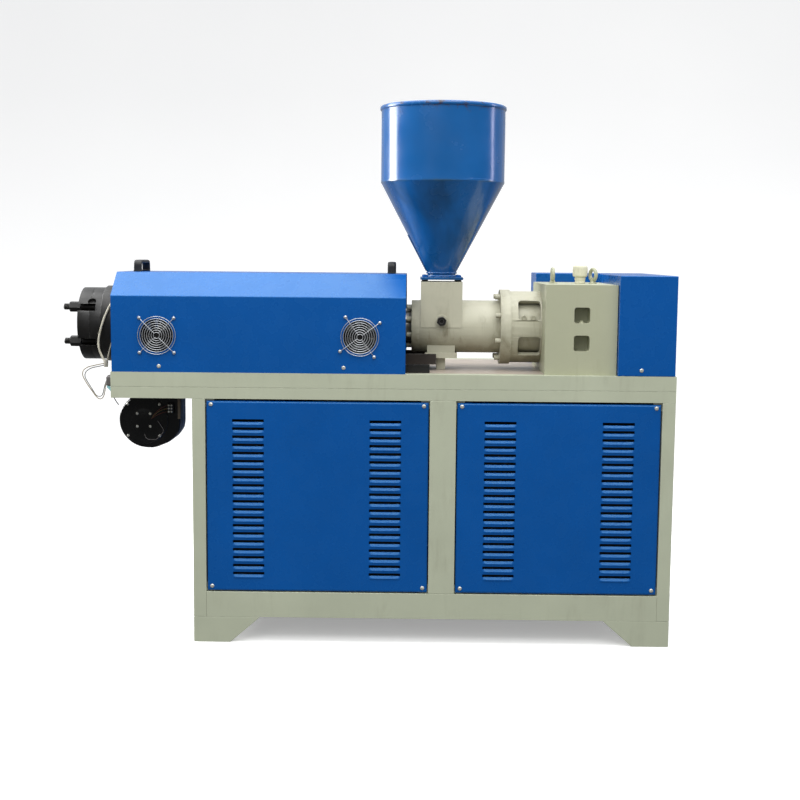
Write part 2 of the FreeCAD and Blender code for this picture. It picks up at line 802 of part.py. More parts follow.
def feed_section():
    run = "feed_end - feed_start"
    round_part = rod("x", "feed_start + feed_flange", AXIS_Y, AXIS_Z, "feed_radius",
                     f"{run} - feed_flange")
    flange = rod("x", "feed_start", AXIS_Y, AXIS_Z, "feed_flange_radius", "feed_flange")
    block = box("feed_block_start", f"{AXIS_Y} - feed_block_depth / 2", AXIS_Z, "feed_block",
                "feed_block_depth", "feed_block_rise")
    throat = rod("z", HOPPER_X, AXIS_Y, AXIS_Z, "throat_radius", "feed_block_rise + 1")
    channel = rod("x", "feed_start - 1", AXIS_Y, AXIS_Z, "bore", f"{run} + 2")
    boss = rod("y", HOPPER_X, f"{AXIS_Y} - feed_radius - boss_proud", f"{AXIS_Z} + boss_rise",
               "plug_radius", "feed_radius")
    casting = cut(fuse(round_part, flange, block, boss), throat, channel)
    sub_part("feed_housing", casting)
    plug = doc.addObject("Part::Prism", "plug")
    plug.Polygon = 6
    plug.Placement.Rotation = ALONG["y"]
    bind(plug, Circumradius="plug_flats / 2 / cos(30)", Height="plug_length")
    place(plug, HOPPER_X, f"{AXIS_Y} - feed_radius - boss_proud - plug_length",
          f"{AXIS_Z} + boss_rise")
    sub_part("water_plug", group(plug))
    shoe_z = "(table_top + shoe_rise)"
    saddle = box(f"{HOPPER_X} - saddle_width / 2", f"{AXIS_Y} - saddle_depth / 2",
                 f"{shoe_z} + shoe_height", "saddle_width", "saddle_depth",
                 "axis_rise - shoe_rise - shoe_height - saddle_drop")
    around = rod("x", "feed_start", AXIS_Y, AXIS_Z, "feed_radius", run)
    shoe = box(f"{HOPPER_X} - shoe_width / 2", f"{AXIS_Y} - shoe_depth / 2", shoe_z,
               "shoe_width", "shoe_depth", "shoe_height")
    web = box(f"{HOPPER_X} - pedestal_width / 2", f"{AXIS_Y} - pedestal_depth / 2", "table_top",
              "pedestal_width", "pedestal_depth", "shoe_rise")
    sub_part("feed_support", cut(fuse(saddle, shoe, web), around))


# ---------------------------------------------------------------- hopper


def hopper():
    flange_z = HOPPER_Z
    plate = box(f"{HOPPER_X} - hopper_flange / 2", f"{AXIS_Y} - hopper_flange / 2", flange_z,
                "hopper_flange", "hopper_flange", "hopper_plate")
    hole = rod("z", HOPPER_X, AXIS_Y, f"{flange_z} - 1", "hopper_neck - hopper_sheet",
               "hopper_plate + 2")
    sub_part("hopper_flange_plate", cut(plate, hole))
    spacers = []
    corner = "(hopper_flange / 2 - spacer_inset)"
    for side in (-1, 1):
        for depth in (-1, 1):
            x = f"{HOPPER_X} + {side} * {corner}"
            y = f"{AXIS_Y} + {depth} * {corner}"
            spacers.append(rod("z", x, y, f"{flange_z} - hopper_gap", "spacer_radius",
                               "hopper_gap"))
            spacers.append(rod("z", x, y, f"{flange_z} + hopper_plate", "spacer_radius",
                               "spacer_nut"))
    sub_part("hopper_bolts", group(*spacers))
    cone = new_body("hopper_cone")
    wall = new_sketch(cone, "XZ_Plane")
    top = "(hopper_neck_height + hopper_cone_height)"
    draw_corners(wall, [
        ("hopper_neck - hopper_sheet", "0"), ("hopper_neck", "0"),
        ("hopper_neck", "hopper_neck_height"), ("hopper_radius", top),
        ("hopper_radius - hopper_sheet", top),
        ("hopper_neck - hopper_sheet", "hopper_neck_height"),
    ])
    revolution(cone, wall, "V_Axis")
    sub_part("hopper_cone", cone, HOPPER_X, AXIS_Y, f"{flange_z} + hopper_plate")
    drum = new_body("hopper_drum")
    wall = new_sketch(drum, "XZ_Plane")
    draw_corners(wall, [
        ("hopper_radius - hopper_sheet", "0"), ("hopper_radius", "0"),
        ("hopper_radius", "hopper_drum_height"),
        ("hopper_radius - hopper_sheet", "hopper_drum_height"),
    ])
    revolution(drum, wall, "V_Axis")
    drum_z = f"({flange_z} + hopper_plate + {top})"
    sub_part("hopper_drum", drum, HOPPER_X, AXIS_Y, drum_z)
    rim = doc.addObject("Part::Torus", "rim")
    bind(rim, Radius1="hopper_radius - hopper_sheet / 2", Radius2="hopper_rim")
    place(rim, HOPPER_X, AXIS_Y, f"{drum_z} + hopper_drum_height + hopper_rim")
    sub_part("hopper_rim", group(rim))


# ---------------------------------------------------------------- bell housing


def bell():
    length = "(bell_end - feed_end)"
    inner = "(bell_radius - bell_wall)"
    ring = rod("x", "feed_end", AXIS_Y, AXIS_Z, "bell_flange_radius", "bell_flange")
    shell = rod("x", "feed_end", AXIS_Y, AXIS_Z, "bell_radius", length)
    hollow = rod("x", "feed_end + bell_flange", AXIS_Y, AXIS_Z, inner, f"{length} - bell_flange + 1")
    channel = rod("x", "feed_end - 1", AXIS_Y, AXIS_Z, "bore", f"{length} + 2")
    windows = []
    for side in (-1, 1):
        for rise in (-1, 1):
            window = rounded_prism("bell_end - window_rim - window_start", "bell_wall * 3",
                                   "window_width", "window_corner")
            angle = rise * SIZES["window_angle"] if side < 0 else 180 - rise * SIZES["window_angle"]
            window.Placement.Rotation = Rotation(Vector(1, 0, 0), -angle)
            reach = f"({inner} + bell_wall * 2)"
            cosine = math.cos(math.radians(angle))
            sine = math.sin(math.radians(angle))
            place(window, "window_start",
                  f"{AXIS_Y} - {reach} * {cosine} - window_width / 2 * {sine}",
                  f"{AXIS_Z} + {reach} * {sine} - window_width / 2 * {cosine}")
            windows.append(window)
    sub_part("bell_housing", cut(fuse(ring, shell), hollow, channel, *windows))
    bolts = cap_ring(8, "cap_circle", "feed_start - cap_length", "cap_radius", "cap_length", 22.5)
    bolts += cap_ring(8, "bell_bolt_circle", "feed_end - cap_length", "cap_radius", "cap_length",
                      22.5)
    sub_part("flange_bolts", group(*bolts))
    sleeve = rod("x", "feed_end + bell_flange", AXIS_Y, AXIS_Z, "bearing_radius",
                 f"{length} - bell_flange")
    shaft = rod("x", "feed_end", AXIS_Y, AXIS_Z, "bore", f"{length} + 1")
    sub_part("bearing_housing", cut(sleeve, shaft))


# ---------------------------------------------------------------- gearbox and belt guard


def gearbox():
    body = new_body("gearbox_block")
    front = new_sketch(body, "XZ_Plane")
    width = "(gearbox_end - bell_end)"
    draw_corners(front, [("0", "0"), (width, "0"), (width, "gearbox_height"),
                         ("0", "gearbox_height")])
    pad(body, front, "drive_depth - gearbox_inset", reverse=True)
    pockets = []
    for low in ("pocket_low", "pocket_high"):
        hollow = rounded_prism("pocket_side", "pocket_depth + 1", "pocket_side", "pocket_corner")
        place(hollow, "pocket_start", "-1", low)
        pockets.append(hollow)
    sub_part("gearbox_case", cut(body, *pockets), "bell_end", "gearbox_inset", "table_top")
    cap = rod("z", "bell_end + breather_place", AXIS_Y, "table_top + gearbox_height + breather_neck_height",
              "breather_radius", "breather_height - breather_neck_height")
    neck = rod("z", "bell_end + breather_place", AXIS_Y, "table_top + gearbox_height", "breather_neck",
               "breather_neck_height")
    sub_part("breather_cap", fuse(cap, neck))
    eyes = []
    for x, turn in (("eye_first", 0), ("eye_second", SIZES["eye_turn"])):
        eye = doc.addObject("Part::Torus", "eye")
        eye.Placement.Rotation = Rotation(Vector(0, 1, 0), 90)
        bind(eye, Radius1="eye_radius", Radius2="eye_bar")
        place(eye, "0", "0", "eye_neck + eye_radius + eye_bar / 2")
        neck = rod("z", "0", "0", "0", "eye_bar * 1.5", "eye_neck")
        made = fuse(eye, neck)
        made.Placement.Rotation = Rotation(Vector(0, 0, 1), turn)
        place(made, f"bell_end + {x}", AXIS_Y, "table_top + gearbox_height")
        eyes.append(made)
    sub_part("eyebolts", group(*eyes))


def belt_guard():
    body = new_body("belt_guard")
    plan = new_sketch(body, "XY_Plane")
    inner_x = "gearbox_end + guard_gap"
    inner_y = "drive_depth + guard_gap"
    rear_x = "bell_end + belt_guard_rear"
    draw_corners(plan, [
        (inner_x, "0"), ("belt_guard_end", "0"), ("belt_guard_end", "belt_guard_back"),
        (rear_x, "belt_guard_back"), (rear_x, inner_y), (inner_x, inner_y),
    ])
    pad(body, plan, "belt_guard_height")
    sub_part("belt_guard", body, "0", "0", "table_top")


# ---------------------------------------------------------------- blower


def blower():
    """A centrifugal blower hung under the overhang, its outlet going up into the hood."""
    x = "(blower_left + blower_radius)"
    z = "(table_top - blower_drop)"
    y = "blower_front"
    scroll = rod("y", x, y, z, "blower_radius", "blower_width")
    outlet = box(f"{x} + blower_radius - duct_length", DUCT_Y, z, "duct_length", "duct_width",
                 f"table_top - table_sheet - {z}")
    throat = box(f"{x} + blower_radius - duct_length", y, z, "duct_length", "blower_width",
                 "blower_radius")
    below_beam = box("-overhang - blower_radius", f"{y} - 1", f"{BEAM_BOTTOM} - blower_beam_gap",
                     "blower_radius + tube + blower_beam_gap", "blower_width + 2",
                     "blower_radius")
    sub_part("blower_scroll", cut(fuse(scroll, throat, outlet), below_beam))
    hub_x = f"({x} - blower_hub_shift)"
    hub_z = f"({z} - blower_hub_drop)"
    cover = rod("y", hub_x, f"{y} - blower_plate_sheet", hub_z, "blower_plate",
                "blower_plate_sheet")
    sub_part("blower_cover", cover)
    motor = rod("y", hub_x, f"{y} + blower_width", hub_z, "blower_motor_radius",
                "blower_motor_length")
    sub_part("blower_motor", motor)
    heads = []
    for circle in ("blower_bolt_circle", "blower_hub_circle"):
        for step in range(4):
            angle = math.radians(45 + 90 * step)
            heads.append(rod("y", f"{hub_x} + {circle} * {math.cos(angle)}",
                             f"{y} - blower_plate_sheet - blower_bolt_head",
                             f"{hub_z} + {circle} * {math.sin(angle)}", "blower_bolt_radius",
                             "blower_bolt_head"))
    sub_part("blower_bolts", group(*heads))
    terminals = box(f"{x} + terminal_across", f"{y} - terminal_depth", f"{z} + terminal_up",
                    "terminal_length", "terminal_depth", "terminal_height")
    sub_part("blower_terminals", terminals)


# ---------------------------------------------------------------- leads

# Routes of the leads by hand, from the leg's corner, with each lead's radius.
LEADS = {
    "heater_lead": (3.2, [
        (-246, 114, 1070), (-261, 112, 1052), (-276, 106, 1026), (-288, 100, 996),
        (-298, 97, 964), (-305, 95, 932), (-304, 93, 903), (-295, 91, 882), (-285, 88, 863)]),
    "band_lead": (2.4, [
        (-252, 99, 948), (-261, 97, 930), (-268, 95, 909), (-273, 92, 887), (-276, 89, 868)]),
    "sensor_lead_outer": (1.5, [
        (-284, 86, 858), (-305, 83, 854), (-327, 80, 849), (-339, 78, 845), (-349, 76, 837),
        (-352, 74, 824), (-346, 72, 810), (-331, 67, 788), (-316, 63, 769), (-306, 59, 756),
        (-295, 56, 749), (-285, 52, 752), (-279, 50, 763), (-275, 47, 779), (-272, 45, 795),
        (-267, 42, 809)]),
    "sensor_lead_inner": (1.5, [
        (-284, 91, 852), (-303, 88, 848), (-323, 85, 844), (-334, 83, 839), (-343, 81, 831),
        (-346, 79, 819), (-340, 77, 806), (-326, 72, 786), (-315, 68, 770), (-308, 65, 760),
        (-300, 62, 757), (-291, 59, 758), (-285, 57, 764), (-281, 54, 778), (-277, 51, 793),
        (-271, 48, 807)]),
    "stub_lead": (1.5, [
        (-264, 52, 800), (-260, 53, 781), (-253, 54, 761), (-245, 55, 745), (-236, 56, 732)]),
}

# The terminal blocks on the collar, as place and lengths, and the low end of the tie.
TERMINAL_BLOCKS = [
    ("-252", "106", "1056", "block_length", "46", "block_height"),
    ("-256", "90", "938", "block_length", "20", "block_height"),
]
TIE_PLACE = ("-281", "88", "846")


def lead(label, radius, points):
    """A round lead of straight runs joined by tangent arcs, as large as the runs allow."""
    places = [Vector(*point) for point in points]
    edges = []
    bends = []
    start = places[0]
    for before, here, after in zip(places, places[1:], places[2:]):
        into = (here - before).normalize()
        out = (after - here).normalize()
        half_turn = into.getAngle(out) / 2
        tangent = 0.45 * min((here - before).Length, (after - here).Length)
        bend = tangent / math.tan(half_turn)
        bends.append(bend)
        leave = here - into * tangent
        join = here + out * tangent
        inwards = (out - into).normalize()
        middle = here + inwards * (bend / math.cos(half_turn) - bend)
        edges.append(Part.LineSegment(start, leave).toShape())
        edges.append(Part.Arc(leave, middle, join).toShape())
        start = join
    edges.append(Part.LineSegment(start, places[-1]).toShape())
    path = Part.Wire(edges)
    ring = Part.Wire([Part.makeCircle(radius, places[0], places[1] - places[0])])
    made = doc.addObject("Part::Feature", "lead")
    made.Shape = path.makePipeShell([ring], True, False)
    swept = made.Shape.Volume / (math.pi * radius ** 2)
    print(f"{label}: length {path.Length:.1f} mm, volume over section {swept:.1f} mm, "
          f"smallest radius {min(bends):.1f} mm")
    sub_part(label, group(made))
    return made


def leads():
    """The free leads, and the blocks, tie and gland that their ends sit in."""
    made = {label: lead(label, *LEADS[label]) for label in LEADS}
    collar = rod("x", "die_face + die_length", AXIS_Y, AXIS_Z, "collar_radius", "collar_length")
    blocks = [box(*block) for block in TERMINAL_BLOCKS]
    sub_part("lead_terminals", group(cut(blocks[0], collar, made["heater_lead"]),
                                     cut(blocks[1], collar, made["band_lead"])))
    tie = rod("z", *TIE_PLACE, "tie_radius", "tie_length")
    in_tie = [made[label] for label in LEADS if label != "stub_lead"]
    sub_part("cable_tie", cut(tie, *in_tie))
    gland = box("-overhang - gland_length", "gland_place", "table_top - gland_drop",
                "gland_length", "gland_side", "gland_height")
    tag = box("-overhang - tag_length", "gland_place + tag_inset",
              "table_top - gland_drop - tag_height", "tag_length", "tag_sheet", "tag_height")
    in_gland = [made[label] for label in ("sensor_lead_outer", "sensor_lead_inner", "stub_lead")]
    sub_part("beam_gland", fuse(cut(gland, *in_gland), tag))


def build():
    table_frame()
    feet()
    panels()
    panel_lugs_and_screws()
    hood()
    fan_units()
    guards = [fan_guard(x, turn) for x, turn in zip(FAN_XS, (0, SIZES["guard_turn"]))]
    sub_part("fan_guards", group(*guards))
    handles()
    hood_floor()
    barrel_and_die()
    feed_section()
    hopper()
    bell()
    gearbox()
    belt_guard()
    blower()
    leads()


build()
doc.recompute()
for item in doc.Objects:
    if "Invalid" in item.State or "Error" in item.State:
        raise RuntimeError(f"{item.Name} ({item.Label}) failed: {item.State}")
os.makedirs("parts", exist_ok=True)
for item in sub_parts:
    if item.Shape.isNull() or not item.Shape.isValid():
        raise RuntimeError(f"{item.Label} has no valid shape")
    item.Shape.exportStep(f"parts/{item.Label}.step")
print(len(sub_parts), "sub-parts")
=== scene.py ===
import math
import random

import bmesh
import bpy
from mathutils import Matrix, Vector


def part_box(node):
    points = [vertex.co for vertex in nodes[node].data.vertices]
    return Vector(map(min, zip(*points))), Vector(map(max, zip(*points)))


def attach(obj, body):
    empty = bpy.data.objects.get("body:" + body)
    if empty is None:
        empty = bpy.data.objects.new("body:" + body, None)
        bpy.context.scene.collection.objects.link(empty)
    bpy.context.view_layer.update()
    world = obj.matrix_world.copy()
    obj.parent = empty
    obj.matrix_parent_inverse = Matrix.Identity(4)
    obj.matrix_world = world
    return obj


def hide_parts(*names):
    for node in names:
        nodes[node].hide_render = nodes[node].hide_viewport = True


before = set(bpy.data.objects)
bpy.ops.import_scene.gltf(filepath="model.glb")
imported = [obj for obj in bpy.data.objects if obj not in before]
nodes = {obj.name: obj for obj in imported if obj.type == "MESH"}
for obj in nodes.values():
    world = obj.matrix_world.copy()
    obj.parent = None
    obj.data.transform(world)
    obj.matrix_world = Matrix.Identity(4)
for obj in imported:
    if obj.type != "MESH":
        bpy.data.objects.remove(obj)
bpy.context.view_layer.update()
chance = random.Random(7)

# Lengths below are millimetres from the corner where the left front leg meets the floor.
CORNER = Vector((520, 323, 0))


def at(x, y, z):
    return (Vector((x, y, z)) - CORNER) / 1000


def corners(node):
    lo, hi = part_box(node)
    return lo * 1000 + CORNER, hi * 1000 + CORNER


def middle(node):
    lo, hi = corners(node)
    return (lo + hi) / 2


def circle(count, radius=1.0, across=0.0, up=0.0, start=0.0):
    """Points evenly round a circle, from an angle in degrees on."""
    first = math.radians(start)
    return [(across + radius * math.cos(first + math.tau * step / count),
             up + radius * math.sin(first + math.tau * step / count)) for step in range(count)]


def between(rows, value):
    """What rows of (value, result) give for a value that lies between two of them."""
    for (near, low), (far, high) in zip(rows, rows[1:]):
        if near <= value <= far:
            return low + (high - low) * (value - near) / (far - near)


def put(name, data):
    """A new object in the scene."""
    made = bpy.data.objects.new(name, data)
    bpy.context.scene.collection.objects.link(made)
    return made


# ---- camera and leads


def camera():
    """Looks slightly down at the front; angles in radians, place in metres."""
    tilt, yaw, roll = 0.112383, -0.0117876, 0.0084608
    stand = (0.15924, -4.184, 1.19754)
    forward = Vector((math.sin(yaw), math.cos(yaw), 0))
    right = Vector((math.cos(yaw), -math.sin(yaw), 0))
    up = Vector((0, 0, 1))
    ahead = forward * math.cos(tilt) - up * math.sin(tilt)
    over = forward * math.sin(tilt) + up * math.cos(tilt)
    x_axis = right * math.cos(roll) + over * math.sin(roll)
    y_axis = -right * math.sin(roll) + over * math.cos(roll)
    data = bpy.data.cameras.new("camera")
    data.lens = 57.6
    data.sensor_width = 36
    seen_from = put("camera", data)
    turn = Matrix((x_axis, y_axis, -ahead)).transposed().to_4x4()
    seen_from.matrix_world = Matrix.Translation(stand) @ turn
    bpy.context.scene.camera = seen_from


# Each lead's radius, real length, stiffness, slot and the points of its route.
LEADS = {
    "heater_lead": (3.2, 226.6, "medium", "sleeve", [
        (-246, 114, 1070), (-261, 112, 1052), (-276, 106, 1026), (-288, 100, 996),
        (-298, 97, 964), (-305, 95, 932), (-304, 93, 903), (-295, 91, 882), (-285, 88, 863)]),
    "band_lead": (2.4, 84.6, "medium", "sleeve", [
        (-252, 99, 948), (-261, 97, 930), (-268, 95, 909), (-273, 92, 887), (-276, 89, 868)]),
    "sensor_lead_outer": (1.5, 250.7, "limp", "thin_wire", [
        (-284, 86, 858), (-305, 83, 854), (-327, 80, 849), (-339, 78, 845), (-349, 76, 837),
        (-352, 74, 824), (-346, 72, 810), (-331, 67, 788), (-316, 63, 769), (-306, 59, 756),
        (-295, 56, 749), (-285, 52, 752), (-279, 50, 763), (-275, 47, 779), (-272, 45, 795),
        (-267, 42, 809)]),
    "sensor_lead_inner": (1.5, 220.8, "limp", "thin_wire", [
        (-284, 91, 852), (-303, 88, 848), (-323, 85, 844), (-334, 83, 839), (-343, 81, 831),
        (-346, 79, 819), (-340, 77, 806), (-326, 72, 786), (-315, 68, 770), (-308, 65, 760),
        (-300, 62, 757), (-291, 59, 758), (-285, 57, 764), (-281, 54, 778), (-277, 51, 793),
        (-271, 48, 807)]),
    "stub_lead": (1.5, 74.3, "medium", "thin_wire", [
        (-264, 52, 800), (-260, 53, 781), (-253, 54, 761), (-245, 55, 745), (-236, 56, 732)]),
}


def leads(looks):
    for label, (radius, length, stiffness, slot, points) in LEADS.items():
        data = bpy.data.curves.new(label + "_route", "CURVE")
        data.dimensions = "3D"
        data.bevel_depth = radius / 1000
        data.bevel_resolution = 4
        data.resolution_u = 10
        data.use_fill_caps = True
        line = data.splines.new("NURBS")
        line.points.add(len(points) - 1)
        for place, point in zip(line.points, points):
            place.co = (*at(*point), 1)
        line.order_u = 3
        line.use_endpoint_u = True
        piece = put(label + "_line", data)
        data.materials.append(looks[label])
        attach(piece, "root")
        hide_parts(label)


# ---- materials


def linear(red, green, blue):
    """A linear colour from the usual 0 to 255 values."""
    def one(value):
        value = value / 255
        return value / 12.92 if value <= 0.04045 else ((value + 0.055) / 1.055) ** 2.4
    return (one(red), one(green), one(blue), 1)


class Tree:
    """A short way to write nodes."""

    def __init__(self, tree):
        self.tree = tree

    def connect(self, socket, value):
        """Feeds a socket from another node, or gives it a plain value."""
        if isinstance(value, bpy.types.NodeSocket):
            self.tree.links.new(value, socket)
        else:
            socket.default_value = value

    def add(self, kind, inputs=None, **settings):
        made = self.tree.nodes.new(kind)
        for name, value in settings.items():
            setattr(made, name, value)
        for name, value in (inputs or {}).items():
            self.connect(made.inputs[name], value)
        return made

    def span(self, value, low, high, to_low=0.0, to_high=1.0):
        return self.add("ShaderNodeMapRange", {
            "Value": value, "From Min": low, "From Max": high, "To Min": to_low,
            "To Max": to_high}).outputs["Result"]


class Nodes(Tree):
    """A material's nodes."""

    def __init__(self, name):
        self.material = bpy.data.materials.new(name)
        self.material.use_nodes = True
        super().__init__(self.material.node_tree)
        self.shader = self.tree.nodes["Principled BSDF"]
        self.place = self.add("ShaderNodeTexCoord").outputs["Object"]

    def noise(self, scale, detail=3.0, stretch=(1, 1, 1), rough=0.55, warp=0.0):
        spread = self.add("ShaderNodeMapping", {"Vector": self.place, "Scale": stretch})
        return self.add("ShaderNodeTexNoise", {
            "Vector": spread.outputs["Vector"], "Scale": scale, "Detail": detail,
            "Roughness": rough, "Distortion": warp}).outputs["Fac"]

    def times(self, first, second):
        made = self.add("ShaderNodeMath", operation="MULTIPLY")
        for socket, value in zip(made.inputs, (first, second)):
            self.connect(socket, value)
        return made.outputs[0]

    def mix(self, factor, first, second):
        made = self.add("ShaderNodeMix", data_type="RGBA")
        for index, value in ((0, factor), (6, first), (7, second)):
            self.connect(made.inputs[index], value)
        return made.outputs[2]

    def over(self, tone, colour, *shares):
        """Lays a colour over a tone, as strongly as its shares multiply to."""
        share = shares[0]
        for other in shares[1:]:
            share = self.times(share, other)
        return self.mix(share, tone, colour)

    def to(self, **inputs):
        """Feeds the shader; an underscore in a name stands for a space."""
        for name, value in inputs.items():
            self.connect(self.shader.inputs[name.replace("_", " ")], value)

    def bump(self, height, strength, distance):
        self.to(Normal=self.add("ShaderNodeBump", {
            "Height": height, "Strength": strength, "Distance": distance}).outputs["Normal"])


def even_out(piece):
    """Lets the broad faces set the shading, so that only the rounds are curved."""
    weigh = piece.modifiers.new("even", "WEIGHTED_NORMAL")
    weigh.keep_sharp = True
    weigh.weight = 100


def shade(colour, factor):
    return tuple(channel * factor for channel in colour[:3]) + (1,)


def paint(name, colour, roughness, vary=0.1, grain=420, depth=0.15, coat=0.0, grime=0.0,
          dirt_and_shade=(70, 60, 44), streak=(1, 1, 0.16), wear_and_highlight=0.0, worn_and_lit=(150, 150, 145),
          metal=0.0, underside_shade=0.0, tint=(1, 1, 1)):
    """Paint, plastic or metal with colour drift, orange peel and grime, painted shade on faces that
    turn downwards, and lighter edges that are partly wear and partly painted highlight.
    """
    made = Nodes(name)
    colour, dirt_and_shade, worn_and_lit = linear(*colour), linear(*dirt_and_shade), linear(*worn_and_lit)
    broad = made.span(made.noise(5, 4), 0.3, 0.7)
    tone = made.mix(broad, shade(colour, 1 - vary), shade(colour, 1 + vary))
    speckle = made.span(made.noise(140, 2), 0.46, 0.72, 0, vary)
    tone = made.over(tone, shade(colour, 0.8), speckle)
    if grime:
        runs = made.span(made.noise(30, 6, streak, 0.7, 0.6), 0.5, 0.74)
        patches = made.span(made.noise(9, 4), 0.42, 0.66)
        tone = made.over(tone, dirt_and_shade, runs, patches, grime)
    surface = made.add("ShaderNodeNewGeometry")
    # painted shade: faces that turn downwards are darkened in streaks, towards the dirt colour
    if underside_shade:
        facing = made.add("ShaderNodeSeparateXYZ", {"Vector": surface.outputs["Normal"]})
        below = made.span(facing.outputs["Z"], -0.15, -0.8)
        runs = made.span(made.noise(16, 5, (1, 1, 0.3), 0.65), 0.32, 0.6, 0.35, 1)
        tone = made.over(tone, dirt_and_shade, below, runs, underside_shade)
    # edges: a lighter tint laid on every rounded edge and broken by noise; partly wear, partly a
    # painted highlight
    if wear_and_highlight:
        rounded = made.add("ShaderNodeBevel", {"Radius": 0.0022}, samples=4)
        turned = made.add("ShaderNodeVectorMath", operation="DOT_PRODUCT")
        for socket, from_node in zip(turned.inputs, (rounded, surface)):
            made.connect(socket, from_node.outputs["Normal"])
        edge = made.span(turned.outputs["Value"], 0.995, 0.93)
        broken = made.span(made.noise(75, 5), 0.44, 0.6)
        tone = made.over(tone, worn_and_lit, edge, broken, wear_and_highlight)
    rough = made.span(made.noise(22, 4), 0.3, 0.7, roughness * 0.85, min(roughness * 1.25, 1))
    made.to(Base_Color=tone, Roughness=rough, Metallic=metal, Specular_Tint=(*tint, 1),
            Coat_Weight=coat, Coat_Roughness=0.08)
    made.bump(made.noise(grain, 2), depth, 0.0006)
    return made.material


def turned_metal(name, colour, roughness):
    """Machined steel with fine tool marks around and stains."""
    made = Nodes(name)
    colour = linear(*colour)
    marks = made.noise(900, 2, (1, 0.06, 0.06))
    stain = made.span(made.noise(26, 5), 0.4, 0.7)
    made.to(Base_Color=made.mix(stain, shade(colour, 1.12), shade(colour, 0.64)), Metallic=1.0,
            Roughness=made.span(marks, 0.3, 0.7, roughness * 0.8, roughness * 1.3))
    made.bump(marks, 0.25, 0.0004)
    return made.material


def wire_sleeve(name, colour, pitch):
    """A woven sleeve: fine diagonal ribs in both directions."""
    made = Nodes(name)
    colour = linear(*colour)
    waves = []
    for lean in (1, -1):
        spread = made.add("ShaderNodeMapping", {"Vector": made.place,
                                                "Rotation": (0, lean * 0.8, 0)})
        waves.append(made.add("ShaderNodeTexWave", {
            "Vector": spread.outputs["Vector"], "Scale": pitch, "Distortion": 1.5,
            "Detail": 1}).outputs["Fac"])
    weave = made.times(*waves)
    soil = made.span(made.noise(60, 4), 0.45, 0.75)
    tone = made.mix(made.span(weave, 0, 1), shade(colour, 0.72), colour)
    made.to(Base_Color=made.over(tone, linear(120, 112, 96), soil, 0.45),
            Roughness=made.span(weave, 0, 1, 0.6, 0.85))
    made.bump(weave, 0.4, 0.0004)
    return made.material


def hopper_paint(name, colour):
    """The hopper's gloss paint, with rust and grime under the rim and painted shade on the cone."""
    made = Nodes(name)
    colour = linear(*colour)
    rim = corners("hopper_rim")[0].z / 1000
    waist = corners("hopper_drum")[0].z / 1000
    height = made.add("ShaderNodeSeparateXYZ", {"Vector": made.place}).outputs["Z"]
    broad = made.span(made.noise(4, 4), 0.3, 0.7)
    tone = made.mix(broad, shade(colour, 0.86), shade(colour, 1.14))
    # painted shade: the cone below the waist gets a darker, mottled blue
    stain = made.span(made.noise(9, 5, (1, 1, 0.35), 0.55, 0.5), 0.4, 0.75)
    low = made.span(height, waist + 0.003, waist - 0.004, 0.1, 0.8)
    tone = made.over(tone, linear(16, 52, 82), stain, low)
    under_rim = made.span(height, rim - 0.03, rim - 0.002)
    spots = made.span(made.noise(34, 6, (1, 1, 1.6), 0.7, 1.2), 0.56, 0.64)
    tone = made.over(tone, linear(66, 46, 30), under_rim, spots, 0.85)
    above, below = (made.span(height, waist + reach, waist) for reach in (0.006, -0.006))
    broken = made.span(made.noise(18, 4), 0.4, 0.6, 0, 0.6)
    tone = made.over(tone, linear(58, 84, 90), above, below, broken)
    made.to(Base_Color=tone, Roughness=made.span(made.noise(12, 4), 0.3, 0.7, 0.16, 0.3),
            Coat_Weight=0.4, Coat_Roughness=0.1)
    made.bump(made.noise(26, 3, (1, 1, 0.4)), 0.12, 0.002)
    return made.material


